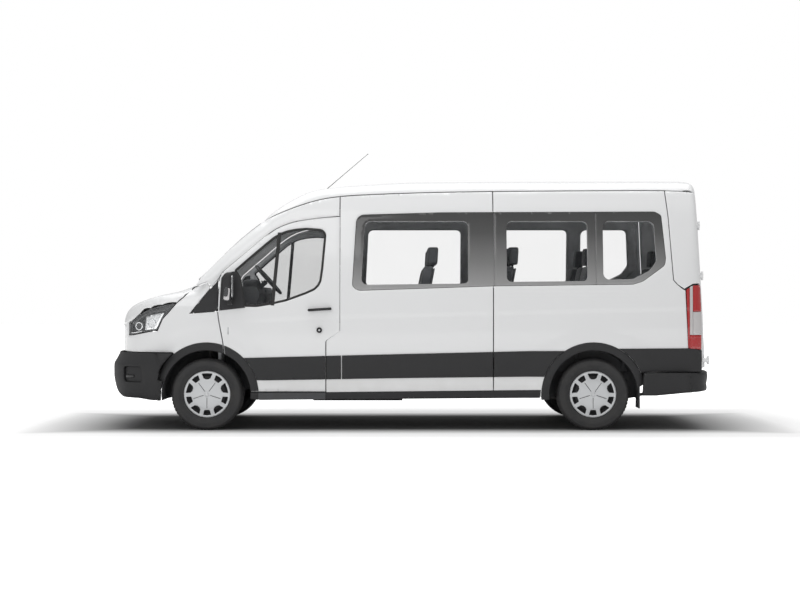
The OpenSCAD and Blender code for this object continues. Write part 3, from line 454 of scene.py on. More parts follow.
def repeat_tree(name, unit, material, ring):
    """Sets one unit out along a line, or round a ring about y, and makes it one mesh."""
    tree = bpy.data.node_groups.new(name, "GeometryNodeTree")
    tree.interface.new_socket("Geometry", in_out="OUTPUT", socket_type="NodeSocketGeometry")
    kinds = {"Count": "NodeSocketInt", "Start": "NodeSocketVector", "Step": "NodeSocketVector",
             "Radius": "NodeSocketFloat", "Turn": "NodeSocketFloat", "Seed": "NodeSocketInt"}
    names = {k: tree.interface.new_socket(k, in_out="INPUT", socket_type=v).identifier for k,
             v in kinds.items()}
    new, link = tree.nodes.new, tree.links.new
    given = new("NodeGroupInput").outputs
    line = new("GeometryNodeMeshLine")
    link(given["Count"], line.inputs["Count"])
    link(given["Start"], line.inputs["Start Location"])
    link(given["Step"], line.inputs["Offset"])
    spots = line.outputs["Mesh"]
    if ring:
        share = new("ShaderNodeMath")
        share.operation = "DIVIDE"
        link(new("GeometryNodeInputIndex").outputs[0], share.inputs[0])
        link(given["Count"], share.inputs[1])
        angle = new("ShaderNodeMath")
        angle.operation = "MULTIPLY"
        link(share.outputs[0], angle.inputs[0])
        angle.inputs[1].default_value = 2 * math.pi
        place = new("ShaderNodeCombineXYZ")
        for operation, axis in (("COSINE", 0), ("SINE", 2)):
            wave = new("ShaderNodeMath")
            wave.operation = operation
            link(angle.outputs[0], wave.inputs[0])
            size = new("ShaderNodeMath")
            size.operation = "MULTIPLY"
            link(wave.outputs[0], size.inputs[0])
            link(given["Radius"], size.inputs[1])
            link(size.outputs[0], place.inputs[axis])
        shift = new("GeometryNodeSetPosition")
        link(spots, shift.inputs["Geometry"])
        link(place.outputs[0], shift.inputs["Offset"])
        spots = shift.outputs["Geometry"]
    chance = new("FunctionNodeRandomValue")
    chance.data_type = "FLOAT"
    link(given["Turn"], chance.inputs[3])
    link(given["Seed"], chance.inputs["Seed"])
    twist = new("ShaderNodeCombineXYZ")
    link(chance.outputs[1], twist.inputs[1])
    thing = new("GeometryNodeObjectInfo")
    thing.inputs["Object"].default_value = unit
    copies = new("GeometryNodeInstanceOnPoints")
    link(spots, copies.inputs["Points"])
    link(thing.outputs["Geometry"], copies.inputs["Instance"])
    link(twist.outputs[0], copies.inputs["Rotation"])
    real = new("GeometryNodeRealizeInstances")
    link(copies.outputs[0], real.inputs[0])
    coat = new("GeometryNodeSetMaterial")
    link(real.outputs[0], coat.inputs["Geometry"])
    coat.inputs["Material"].default_value = material
    link(coat.outputs[0], new("NodeGroupOutput").inputs[0])
    return tree, names


def repeated(name, part, body, material, count, start, step=(0, 0, 0), radius=0.0, turn=0.0, seed=3,
             slot=None):
    """Many of one small part, set out by a node tree and kept as a plain mesh."""
    mesh = bpy.data.meshes.new(name + "_unit")
    mesh.from_pydata([tuple(v) for v in np.asarray(part[0], float) * 0.001], [],
                     [tuple(f) for f in part[1]])
    shape = bmesh.new()
    shape.from_mesh(mesh)
    bmesh.ops.recalc_face_normals(shape, faces=shape.faces)
    shape.to_mesh(mesh)
    shape.free()
    unit = bpy.data.objects.new(name + "_unit", mesh)
    host = bpy.data.objects.new(name, bpy.data.meshes.new(name))
    for obj in (unit, host):
        bpy.context.scene.collection.objects.link(obj)
    tree, names = repeat_tree(name, unit, material, radius > 0)
    modifier = host.modifiers.new("repeat", "NODES")
    modifier.node_group = tree
    modifier[names["Count"]] = count
    modifier[names["Start"]] = [c * 0.001 for c in start]
    modifier[names["Step"]] = [c * 0.001 for c in step]
    modifier[names["Radius"]] = radius * 0.001
    modifier[names["Turn"]] = turn
    modifier[names["Seed"]] = seed
    bpy.context.view_layer.update()
    ready = host.evaluated_get(bpy.context.evaluated_depsgraph_get())
    plain = bpy.data.meshes.new_from_object(ready)
    host.modifiers.clear()
    host.data = plain
    if not plain.materials:
        plain.materials.append(material)
    bpy.data.objects.remove(unit)
    settle(host, body, None, slot)
    return host


def settle(obj, body, node=None, slot=None):
    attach(obj, body)
    if node:
        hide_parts(*([node] if isinstance(node, str) else node))
    return obj


def flip_y(parts):
    verts, faces = parts[0].copy(), [tuple(reversed(f)) for f in parts[1]]
    verts[:, 1] *= -1
    return (verts, faces) + tuple(parts[2:])


def joined(parts):
    """Several (points, faces, face materials) as one."""
    verts, faces, mats, n = [], [], [], 0
    for p in parts:
        v, f = p[0], p[1]
        m = p[2] if len(p) > 2 else [0] * len(f)
        verts.append(v)
        faces += [tuple(i + n for i in q) for q in f]
        mats += list(m)
        n += len(v)
    return np.vstack(verts), faces, mats


def tile(loops, step):
    """A flat net of triangles inside the first loop and outside the others."""
    pts, edges, n = [], [], 0
    for loop in loops:
        k = len(loop)
        pts.append(loop)
        edges += [(n + i, n + (i + 1) % k) for i in range(k)]
        n += k
    outer = loops[0]
    lo, hi = outer.min(0), outer.max(0)
    rows = []
    for r, v in enumerate(np.arange(lo[1] + step * 0.6, hi[1], step * 0.87)):
        u = np.arange(lo[0] + step * (0.5 if r % 2 else 1.0), hi[0], step)
        rows.append(np.stack([u, np.full(len(u), v)], 1))
    q = np.vstack(rows) if rows else np.zeros((0, 2))
    q = q[inside(outer, q)] if len(q) else q
    for hole in loops[1:]:
        if len(q):
            q = q[~inside(hole, q)]
    for loop in loops:
        if len(q):
            near = (q >= loop.min(0) - step).all(1) & (q <= loop.max(0) + step).all(1)
            far_off = np.ones(len(q), bool)
            far_off[near] = away(loop, q[near]) > step * 0.55
            q = q[far_off]
    pts = np.vstack(pts + [q])
    got = delaunay_2d_cdt([Vector(p) for p in pts], edges, [], 0, 1e-4)
    v2 = arr([tuple(v) for v in got[0]])
    tris = np.array([f for f in got[2]], int)
    mid = v2[tris].mean(1)
    keep = inside(outer, mid)
    for hole in loops[1:]:
        keep &= ~inside(hole, mid)
    tris = tris[keep]
    a, b, c = v2[tris[:, 0]], v2[tris[:, 1]], v2[tris[:, 2]]
    turned = (b[:, 0] - a[:, 0]) * (c[:, 1] - a[:, 1]) - (b[:, 1] - a[:, 1]) * (c[:, 0] - a[:, 0]) < 0
    tris[turned] = tris[turned][:, ::-1]
    return v2, tris


def slab(loops, land, thick=14.0, edge=2.5, step=None, facing=1, first=0.0, back=True, edge_step=None):
    """A sheet laid on a surface: rounded edges, real thickness. Loops: the outline, then its holes.
    facing is 1 where (u, v, outward) is right-handed.
    Returns points, faces and face materials (1 on the back)."""
    step = step or GRID
    edge_step = edge_step or step * 0.62
    true = [left_hand(loops[0])] + [left_hand(h) for h in loops[1:]]
    true = [dense(p, edge_step) for p in true]
    signs = [1] + [-1] * (len(true) - 1)
    inner = [grown(p, -s * edge) for p, s in zip(true, signs)]
    mid = [grown(p, -s * edge * 0.3) for p, s in zip(true, signs)]
    true = [grown(p, 0) for p in true]
    inner_l = [p[: len(t)] for p, t in zip(inner, true)]
    v2, tris = tile(inner_l, step)
    p, n = land(v2)
    verts, faces, mats = [p - n * first], [tuple(t) for t in tris], [0] * len(tris)
    count = len(p)
    start = 0
    for k, loop in enumerate(inner_l):
        m = len(loop)
        ring0 = np.arange(start, start + m)
        start += m
        pm, nm = land(mid[k][:m])
        pt, nt = land(true[k][:m])
        rings = [pm - nm * (first + edge * 0.3), pt - nt * (first + edge), pt - nt * (first + thick)]
        ids = [ring0]
        for r in rings:
            verts.append(r)
            ids.append(np.arange(count, count + m))
            count += m
        for a, b in zip(ids[:-1], ids[1:]):
            for i in range(m):
                j = (i + 1) % m
                q = (a[i], b[i], b[j], a[j]) if k == 0 else (a[j], b[j], b[i], a[i])
                faces.append(q)
                mats.append(0)
        if back:
            verts.append(None)
            ids.append(ids[-1])
    verts = [v for v in verts if v is not None]
    if back:
        b2, btris = tile([true[k][: len(inner_l[k])] for k in range(len(true))], step * 1.5)
        pb, nb = land(b2)
        verts.append(pb - nb * (first + thick))
        faces += [tuple(int(i) + count for i in t[::-1]) for t in btris]
        mats += [1] * len(btris)
    verts = np.vstack(verts)
    if facing < 0:
        faces = [tuple(reversed(f)) for f in faces]
    return welded(verts, faces, mats)


def welded(verts, faces, mats, grain=0.02):
    """The same mesh with points that lie together made one."""
    key = np.round(verts / grain).astype(np.int64)
    _, first, back = np.unique(key, axis=0, return_index=True, return_inverse=True)
    back = back.reshape(-1)
    out, keep = [], []
    for f, m in zip(faces, mats):
        g = []
        for i in f:
            j = int(back[i])
            if not g or g[-1] != j:
                g.append(j)
        if len(g) > 1 and g[0] == g[-1]:
            g.pop()
        if len(set(g)) > 2:
            out.append(tuple(g))
            keep.append(m)
    return verts[first], out, keep


def lathe(profile, turns=96, centre=(0, 0, 0), closed=True):
    """A profile of (radius, y) spun about an axle that lies along y."""
    p = arr(profile)
    ang = np.arange(turns) * 2 * math.pi / turns
    verts = np.stack([
        np.outer(np.cos(ang), p[:, 0]) + centre[0],
        np.tile(p[:, 1], (turns, 1)) + centre[1],
        np.outer(np.sin(ang), p[:, 0]) + centre[2],
    ], -1).reshape(-1, 3)
    k = len(p)
    faces = []
    rng = range(k) if closed else range(k - 1)
    for i in range(turns):
        j = (i + 1) % turns
        for a in rng:
            b = (a + 1) % k
            faces.append((i * k + a, i * k + b, j * k + b, j * k + a))
    return verts, faces, [0] * len(faces)


def tube(path, radius, sides=12, cap=True):
    """A round bar along a path of points."""
    p = arr(path)
    t = np.gradient(p, axis=0)
    t /= np.linalg.norm(t, axis=1)[:, None]
    ref = arr([0, 0, 1]) if abs(t[0, 2]) < 0.9 else arr([1, 0, 0])
    verts, faces = [], []
    radius = np.broadcast_to(radius, len(p))
    for i in range(len(p)):
        a = np.cross(t[i], ref)
        a /= np.linalg.norm(a)
        b = np.cross(t[i], a)
        for s in range(sides):
            w = 2 * math.pi * s / sides
            verts.append(p[i] + radius[i] * (math.cos(w) * a + math.sin(w) * b))
    for i in range(len(p) - 1):
        for s in range(sides):
            r = (s + 1) % sides
            faces.append((i * sides + s, i * sides + r, (i + 1) * sides + r, (i + 1) * sides + s))
    if cap:
        faces.append(tuple(range(sides))[::-1])
        faces.append(tuple((len(p) - 1) * sides + s for s in range(sides)))
    return arr(verts), faces, [0] * len(faces)


def brick(low, high, bevel=4.0, bend=None):
    """A block with its edges rounded off."""
    bm = bmesh.new()
    bmesh.ops.create_cube(bm, size=1)
    lo, hi = arr(low), arr(high)
    for v in bm.verts:
        v.co = Vector((lo + hi) / 2 + arr(v.co) * (hi - lo))
    bevel = min(bevel, 0.45 * float((hi - lo).min()))
    bmesh.ops.bevel(bm, geom=list(bm.edges), offset=bevel, segments=3, profile=0.5, affect="EDGES")
    bm.verts.index_update()
    verts = arr([tuple(v.co) for v in bm.verts])
    faces = [tuple(v.index for v in f.verts) for f in bm.faces]
    bm.free()
    if bend is not None:
        verts = bend(verts)
    return verts, faces, [0] * len(faces)


def moved(part, shift):
    return (part[0] + arr(shift),) + tuple(part[1:])


def turned(part, axis, degrees, about=(0, 0, 0)):
    c, s = math.cos(math.radians(degrees)), math.sin(math.radians(degrees))
    k = "xyz".index(axis)
    i, j = (k + 1) % 3, (k + 2) % 3
    v = part[0] - arr(about)
    w = v.copy()
    w[:, i] = c * v[:, i] - s * v[:, j]
    w[:, j] = s * v[:, i] + c * v[:, j]
    return (w + arr(about),) + tuple(part[1:])


def push(outline, low, high, across, edge=3.0, fine=30):
    """A flat plate: an outline pushed from low to high along an axis, with rounded edges."""
    loop = left_hand(dense(left_hand(outline), fine))
    small = grown(loop, -edge)
    loop = grown(loop, 0)
    small = small[: len(loop)]
    order = {"x": (1, 2, 0), "y": (0, 2, 1), "z": (0, 1, 2)}[across]
    tris = tile([small], 1e6)[1]
    m = len(loop)
    rings = [(small, high), (grown(loop, -edge * 0.3)[:m], high - edge * 0.3), (loop, high - edge),
             (loop, low + edge), (grown(loop, -edge * 0.3)[:m], low + edge * 0.3), (small, low)]
    verts, faces = [], []
    for r, level in rings:
        q = np.zeros((m, 3))
        q[:, order[0]], q[:, order[1]], q[:, order[2]] = r[:, 0], r[:, 1], level
        verts.append(q)
    for a in range(5):
        for i in range(m):
            j = (i + 1) % m
            faces.append((a * m + i, (a + 1) * m + i, (a + 1) * m + j, a * m + j))
    faces += [tuple(int(i) for i in t) for t in tris]
    faces += [tuple(int(i) + 5 * m for i in t[::-1]) for t in tris]
    if across == "y":
        faces = [tuple(reversed(f)) for f in faces]
    return np.vstack(verts), faces, [0] * len(faces)


# ---- Finishes ----


class Wire:
    """A shader value that takes part in sums."""

    def __init__(self, finish, socket):
        self.finish, self.socket = finish, socket

    def sum(self, operation, first, second):
        return self.finish.node("ShaderNodeMath", {"operation": operation}, {0: first, 1: second})

    def __add__(self, other):
        return self.sum("ADD", self, other)

    def __sub__(self, other):
        return self.sum("SUBTRACT", self, other)

    def __mul__(self, other):
        return self.sum("MULTIPLY", self, other)

    def __truediv__(self, other):
        return self.sum("DIVIDE", self, other)

    def __rsub__(self, other):
        return self.sum("SUBTRACT", other, self)

    def clamped(self, low, high):
        """0 below low, 1 above high."""
        return self.finish.node(
            "ShaderNodeMapRange", {"clamp": True}, {"Value": self, "From Min": low, "From Max": high}
        )

    __radd__ = __add__
    __rmul__ = __mul__


class Finish:
    """A material built from plain calls."""

    def __init__(self, name, rough=0.5, metal=0.0, coat=0.0, **fixed):
        self.material = bpy.data.materials.new(name)
        self.material.use_nodes = True
        self.tree = self.material.node_tree
        self.shader = self.tree.nodes["Principled BSDF"]
        self.set(Roughness=rough, Metallic=metal)
        self.set(**{"Coat Weight": coat}, **fixed)

    def node(self, kind, settings=None, inputs=None, out=0):
        made_node = self.tree.nodes.new(kind)
        for key, value in (settings or {}).items():
            if key == "stops":
                ramp_ = made_node.color_ramp
                while len(ramp_.elements) < len(value):
                    ramp_.elements.new(0.5)
                for element, (at, colour) in zip(ramp_.elements, value):
                    element.position, element.color = at, tuple(colour) + (1,)
            else:
                setattr(made_node, key, value)
        for key, value in (inputs or {}).items():
            self.feed(made_node.inputs[key], value)
        return Wire(self, made_node.outputs[out])

    def feed(self, socket, value):
        if isinstance(value, Wire):
            self.tree.links.new(value.socket, socket)
        else:
            socket.default_value = value

    def set(self, **values):
        for key, value in values.items():
            self.feed(self.shader.inputs[key.replace("_", " ")], value)

    @property
    def place(self):
        return self.node("ShaderNodeTexCoord", out="Object")

    def part(self, axis):
        return self.node("ShaderNodeSeparateXYZ", None, {0: self.place}, out=axis)

    def noise(self, scale, detail=3.0, where=None):
        return self.node(
            "ShaderNodeTexNoise", None, {"Vector": where or self.place, "Scale": scale,
                                         "Detail": detail}
        )

    def mix(self, amount, first, second):
        def full(c):
            return c if isinstance(c, Wire) else tuple(c) + (1,)

        return self.node(
            "ShaderNodeMix", {"data_type": "RGBA"}, {0: amount, 6: full(first), 7: full(second)}, out=2
        )

    def bump(self, height, strength, distance=0.002):
        made_bump = self.node(
            "ShaderNodeBump", None, {"Height": height, "Strength": strength, "Distance": distance}
        )
        self.set(Normal=made_bump)


def grey(v):
    return (v, v, v)


def paint_finish(name, colour, dusty=True):
    f = Finish(name, coat=0.6, **{"Coat Roughness": 0.06})
    cloud = f.noise(1.3, 2.0)
    base = f.mix(cloud, [c * 0.985 for c in colour], [min(1, c * 1.01) for c in colour])
    if dusty:
        dust = (1 - f.part("Z").clamped(0.32, 0.62)) * (f.noise(5.0) * 0.5)
        base = f.mix(dust, base, (0.42, 0.40, 0.37))
    f.set(**{"Base Color": base, "Roughness": 0.32 + f.noise(11.0) * 0.1})
    f.bump(f.noise(340.0, 2.0), 0.02, 0.0006)
    return f.material


def plastic_finish(name, colour, rough=0.55, grain=760.0, strength=0.22):
    f = Finish(name)
    cells = f.node("ShaderNodeTexVoronoi", {"feature": "SMOOTH_F1"},
                   {"Vector": f.place, "Scale": grain})
    worn = f.noise(6.0)
    lighter = [min(1, c * 1.5 + 0.006) for c in colour]
    f.set(**{"Base Color": f.mix(worn.clamped(0.35, 0.8) * 0.6, colour, lighter),
             "Roughness": rough + worn * 0.14})
    f.bump(cells, strength, 0.0005)
    return f.material


def rubber_finish(name, colour=(0.022, 0.022, 0.023)):
    f = Finish(name)
    dust = f.noise(9.0, 5.0)
    f.set(**{"Base Color": f.mix(dust.clamped(0.4, 0.85) * 0.5, colour, (0.06, 0.057, 0.053)),
             "Roughness": 0.62 + dust * 0.2})
    f.bump(f.noise(420.0, 4.0), 0.18, 0.0006)
    return f.material


def metal_finish(name, colour, rough, metal=1.0, scratch=0.06):
    f = Finish(name, metal=metal)
    fine = f.noise(160.0, 6.0)
    f.set(**{"Base Color": f.mix(f.noise(7.0), [c * 0.9 for c in colour], colour),
             "Roughness": rough + fine * 0.16})
    f.bump(fine, scratch, 0.0004)
    return f.material


def chassis_finish():
    f = Finish("chassis_black", rough=0.6)
    grime = f.noise(14.0, 6.0)
    f.set(**{"Base Color": f.mix(grime.clamped(0.42, 0.7), (0.02, 0.02, 0.021), (0.062, 0.055, 0.047)),
             "Roughness": 0.5 + grime * 0.3})
    f.bump(grime, 0.25, 0.001)
    return f.material


def glass_finish(name, colour, alpha, rough=0.03, streaks=0.02):
    f = Finish(name, **{"Specular IOR Level": 0.6})
    film = f.noise(2.2, 4.0)
    f.set(**{"Base Color": f.mix(film, colour, [c * 1.08 for c in colour]),
             "Roughness": rough + film * streaks,
             "Alpha": alpha + film * 0.02})
    return f.material


def frit_with_painted_reflection():
    """Glass printed black, deepest at the top; the lighter lower part is a painted reflection of the pale
    floor.
    """
    f = Finish("printed_glass_painted_reflection", **{"Specular IOR Level": 0.5})
    z = f.part("Z").clamped(1.38, 2.1)
    film = f.noise(1.6, 3.0)
    # Painted reflection: the black print is made lighter towards the bottom, as if it mirrored the pale
    # floor
    shade = f.node("ShaderNodeValToRGB",
                   {"stops": [(0.0, grey(0.36)), (0.35, grey(0.20)), (0.75, grey(0.075)),
                                                     (1.0, grey(0.045))]}, {0: z})
    f.set(**{"Base Color": f.mix(film * 0.25, shade, grey(0.1)), "Roughness": 0.07 + film * 0.05})
    return f.material


def lamp_finish(name, colour, alpha):
    f = Finish(name, coat=0.5)
    band = f.node("ShaderNodeTexWave", {"wave_type": "BANDS", "bands_direction": "Z"},
                  {"Vector": f.place, "Scale": 28.0, "Distortion": 0.4})
    f.set(**{"Base Color": f.mix(band * 0.35, colour, [c * 0.55 for c in colour]),
             "Roughness": 0.08 + band * 0.05,
             "Alpha": alpha + band * 0.06})
    f.bump(band, 0.15, 0.001)
    return f.material


def cloth_finish(name, colour, other, thread=900.0):
    f = Finish(name, rough=0.9, **{"Sheen Weight": 0.25})
    warp = f.node("ShaderNodeTexWave", {"bands_direction": "Y"},
                  {"Vector": f.place, "Scale": thread * 0.32})
    weft = f.node("ShaderNodeTexWave", {"bands_direction": "Z"},
                  {"Vector": f.place, "Scale": thread * 0.32})
    fleck = f.noise(130.0, 4.0)
    f.set(**{"Base Color": f.mix(fleck.clamped(0.4, 0.65), colour, other),
             "Roughness": 0.82 + fleck * 0.12})
    f.bump(warp * weft + fleck * 0.4, 0.35, 0.0009)
    return f.material


WHITE = paint_finish("white_paint", (0.79, 0.795, 0.80))
LINING = plastic_finish("pale_trim", (0.52, 0.53, 0.54), 0.6, 500.0, 0.12)
PLASTIC = plastic_finish("black_plastic", (0.011, 0.011, 0.012), 0.6)
GLOSS = plastic_finish("dark_gloss", (0.012, 0.012, 0.013), 0.22, 300.0, 0.03)
DASH = plastic_finish("dash_plastic", (0.05, 0.051, 0.054), 0.6, 520.0, 0.25)
TYRE = rubber_finish("tyre_rubber")
SEAL = rubber_finish("seal_rubber", (0.012, 0.012, 0.012))
SILVER = metal_finish("silver_cover", (0.60, 0.61, 0.62), 0.3, 0.35, 0.03)
STEEL = metal_finish("bare_steel", (0.45, 0.45, 0.46), 0.35)
DARK_STEEL = metal_finish("dark_steel", (0.05, 0.05, 0.052), 0.5, 0.5)
REFLECTOR = metal_finish("lamp_reflector", (0.86, 0.87, 0.88), 0.08, 0.9, 0.01)
CHASSIS = chassis_finish()
CLEAR = glass_finish("clear_glass", (0.10, 0.11, 0.115), 0.025)
TINT = glass_finish("tinted_glass", (0.06, 0.065, 0.068), 0.12)
FRIT_PAINTED_REFLECTION = frit_with_painted_reflection()
LENS = glass_finish("lamp_clear", (0.75, 0.77, 0.79), 0.05, 0.02, 0.02)
RED = lamp_finish("lamp_red", (0.46, 0.012, 0.014), 0.96)
CLOUDY = lamp_finish("lamp_frosted", (0.62, 0.60, 0.60), 0.95)
CLOTH = cloth_finish("seat_cloth", (0.045, 0.047, 0.052), (0.10, 0.104, 0.112))
MAT = rubber_finish("floor_covering", (0.06, 0.062, 0.066))


def dress(node, material):
    """Gives a CAD node that stays in view its finish."""
    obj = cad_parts[node]
    obj.data.materials.clear()
    obj.data.materials.append(material)


def pair(name, parts, bodies, material, nodes=(None, None), slot=None):
    """The same shape on the right (as given) and on the left."""
    bodies = (bodies, bodies) if isinstance(bodies, str) else bodies
    new_piece("right_" + name, parts[0], parts[1], bodies[1], material, nodes[1], slot, parts[2])
    left = flip_y(parts)
    new_piece("left_" + name, left[0], left[1], bodies[0], material, nodes[0], slot, left[2])


def both(parts):
    """One mesh with the shape on the right and on the left."""
    return joined([parts, flip_y(parts)])


# ---- Outlines in the side view ----


def arc(x, r, a0, a1, step=4.0):
    """Points of a circle round a wheel's axle; angles in degrees, 0 at the tail side."""
    n = max(2, int(abs(a1 - a0) / step) + 1)
    w = np.radians(np.linspace(a0, a1, n))
    return np.stack([x + r * np.cos(w), TYRE_R + r * np.sin(w)], 1)


SILL = 376.0
STEP_X = PILLAR_X - 138
door_top = smooth_line([[PILLAR_X, 2074], [-839, 2062], [-1000, 2042], [-1112, 2022], [-1200, 1996],
                        [-1304, 1946],
                        [-1400, 1877], [-1560, 1741], [-1721, 1604], [-1812, 1526]], 4)
door_front = smooth_line([[-1838, 1480], [-1848, 1320], [-1854, 1154], [-1843, 1060], [-1829, 985],
                          [-1804, 848],
                          [-1790, 742]], 4)
DOOR = np.vstack([door_top, door_front, arc(AXLE_F, ARCH_R, 65.0, 4.0),
                  [[STEP_X, SILL], [STEP_X, 858], [STEP_X + 14, 876], [PILLAR_X, 963]]])
DOOR_WINDOW = fillet([[-805, 1950], [-1000, 1966], [-1112, 1956], [-1200, 1938], [-1256, 1914],
                      [-1321, 1877],
                      [-1400, 1812], [-1545, 1688], [-1700, 1552], [-1657, 1486], [-1606, 1200],
                      [-1480, 1197],
                      [-1321, 1224], [-1200, 1252], [-1120, 1280], [-1000, 1324], [-919, 1361],
                      [-879, 1400],
                      [-856, 1446], [-839, 1565]],
                     [70, 300, 300, 200, 200, 200, 300, 300, 20, 60, 30, 200, 200, 200, 200, 200, 60,
                      60, 60, 300])
CORNER_BODY = [[-2129, 1138], [-1926, 1374], [-1852, 1460], [-1858, 1330], [-1863, 1160]]
CORNER_DOOR = [[-1843, 1161], [-1834, 1330], [-1824, 1478], [-1790, 1524], [-1690, 1546], [-1650, 1488],
               [-1600, 1204], [-1586, 1190]]

screen_foot, screen_head = -2084.0, -1462.0
SCREEN_Y = 838.0
gutter = smooth_line([[screen_head, 2012], [-1395, 2052], [-1250, 2118], [-1039, 2198], [-860, 2248],
                      [PILLAR_X, 2276], [-340, 2297], [200, 2316], [688, 2325], [1860, 2334],
                      [2510, 2334],
                      [2790, 2322]], 6)


def gutter_z(x):
    return np.interp(x, gutter[:, 0], gutter[:, 1])


def sampled(line, x0, x1, n=24):
    xs = np.linspace(x0, x1, n)
    return np.stack([xs, np.interp(xs, line[:, 0], line[:, 1])], 1)


on_cab = from_side(cab_shape)
on_whole = from_side(whole_shape)
over_cab = from_centre(cab_shape)
over_nose = from_centre(nose_shape)

knots = np.linspace(along_centre(x=screen_foot), along_centre(x=screen_head), 14)
screen_edge = over_cab(np.stack([knots, np.full(14, SCREEN_Y)], 1))[0][:, [0, 2]]

WING_SEAM = [[-2160, 1338], [-2095, 1388], [-1962, 1433]]
bonnet_seam = [[-2767, 1046], [-2740, 1056], [-2709, 1071], [-2634, 1130], [-2521, 1184], [-2407, 1216],
               [-2259, 1241], [-2200, 1292], [-2160, 1336]]
LAMP = fillet([[-2709, 1065], [-2634, 1124], [-2521, 1178], [-2407, 1210], [-2266, 1234], [-2333, 1156],
               [-2403, 1081], [-2437, 1008], [-2457, 965], [-2526, 961], [-2615, 944], [-2709, 926],
               [-2764, 921],
               [-2764, 1046]],
              [200, 200, 200, 200, 6, 200, 200, 100, 26, 200, 200, 200, 30, 40])
WING = np.vstack([
    [[-2846, 757], [-2846, 1034], [-2790, 1040], [-2772, 1046], [-2772, 914], [-2709, 918],
     [-2615, 936],
     [-2526, 953], [-2451, 957], [-2430, 1004], [-2396, 1078], [-2325, 1153], [-2256, 1234],
     [-2196, 1284]],
    [[-2156, 1327]], WING_SEAM[1:],
    [[-1936, 1378], [-2120, 1150]], [[-2137, 1131], [-1863, 1151]],
    door_front[(door_front[:, 1] < 1150) & (door_front[:, 1] > 745)] - [2 * GAP, 0],
    arc(AXLE_F, ARCH_R, 67.0, 128.0), [[-2300, 757]],
])
PILLAR = np.vstack([
    [[-1958, 1444], [-2070, 1414]],
    screen_edge[1:-1] + [3, -4],
    (gutter[(gutter[:, 0] < PILLAR_X - 20)] - [0, 5])[1:],
    [[PILLAR_X - GAP, gutter_z(PILLAR_X) - 5], [PILLAR_X - GAP, 2074 + 2 * GAP]],
    (door_top + [0, 2 * GAP])[1:] - [GAP, 0],
    [[-1856, 1470], [-1920, 1392]],
])


def side_wall(x0, x1, low):
    """A wall behind the cab from x0 to x1, from its foot up to the gutter."""
    top = sampled(gutter - [0, 5], x0, x1)
    return np.vstack([top[::-1], low])


BAND = fillet([[-514, 2092], [300, 2116], [2391, 2124], [2450, 2090], [2486, 1668], [2476, 1600],
               [2262, 1445],
               [2165, 1416], [820, 1400], [-490, 1356], [-555, 1390]],
              [80, 400, 70, 40, 60, 60, 120, 60, 800, 60, 60])
JOINT_1, JOINT_2 = 822.0, 1810.0
windows = [
    fillet([[-468, 1412], [569, 1424], [569, 2031], [-436, 2031]], [56, 40, 50, 60]),
    fillet([[944, 1440], [1728, 1448], [1728, 2031], [944, 2031]], [48, 48, 52, 52]),
    fillet([[1880, 1462], [2160, 1466], [2330, 1550], [2398, 1640], [2376, 2031], [1880, 2031]],
           [60, 80, 90, 60, 60, 60]),
]
# ---- The rear corner: the back door's edge, and the line where the side meets the back ----


def rear_edge(z):
    return SIDE - 67 - (z - 600) * 0.0742


def corner_y(z):
    """Where the side's rear edge meets the back, measured from the middle."""
    below = rear_edge(z) + 24
    above = np.interp(z, [1300, 1460, 1700, 2120, 2245, 2322], [1000, 968, 950, 908, 880, 848]) - 22
    return below + (above - below) * ramp(z, 1400, 1440)


on_back = from_end(cab_shape, 1)
back_z = np.linspace(575, 2318, 30)
corner_xz = on_back(np.stack([corner_y(back_z), back_z], 1))[0][:, [0, 2]]


def corner_x(z):
    return np.interp(z, corner_xz[:, 1], corner_xz[:, 0])


# ---- Body sides ----

FIRST_WALL = side_wall(PILLAR_X + GAP, SLIDE_END - GAP, [[PILLAR_X + GAP, 966], [STEP_X + 22, 880],
                       [STEP_X + 2 * GAP, 862], [STEP_X + 2 * GAP, 320], [SLIDE_END - GAP, 330]])
rear_low = np.vstack([[[SLIDE_END + GAP, 330]], [[AXLE_R - ARCH_R - 6, 330]],
                      arc(AXLE_R, ARCH_R, 178, 25),
                      [[2240, 560], [2836, 574], [2840, 772]],
                      [[2700, 792], [2674, 1358], [2650, 1367], [2596, 1410], [2556, 1456],
                       [2536, 1750], [2516, 2068]]])
SECOND_WALL = side_wall(SLIDE_END + GAP, 2490, rear_low)
quarter_z = np.linspace(1428, 2304, 26)
QUARTER = np.vstack([
    [[2499, gutter_z(2499) - 5], [2524, 2068], [2544, 1750], [2564, 1459], [2602, 1416], [2664, 1374],
     [2748, 1422]],
    np.stack([corner_x(quarter_z), quarter_z], 1),
    [[corner_x(2312) - 8, 2313], [2700, gutter_z(2700) - 5]],
])
band_hole = grown(BAND, 3)


def split_outline(loop, x0, x1):
    """A loop cut to the strip between two stations, by clipping its edges."""
    p = left_hand(loop)
    for limit, sign in ((x0, 1), (x1, -1)):
        out = []
        for i in range(len(p)):
            a, b = p[i - 1], p[i]
            ina, inb = (a[0] - limit) * sign >= 0, (b[0] - limit) * sign >= 0
            if ina != inb:
                t = (limit - a[0]) / (b[0] - a[0])
                out.append(a + (b - a) * t)
            if inb:
                out.append(b)
        p = arr(out)
    return p


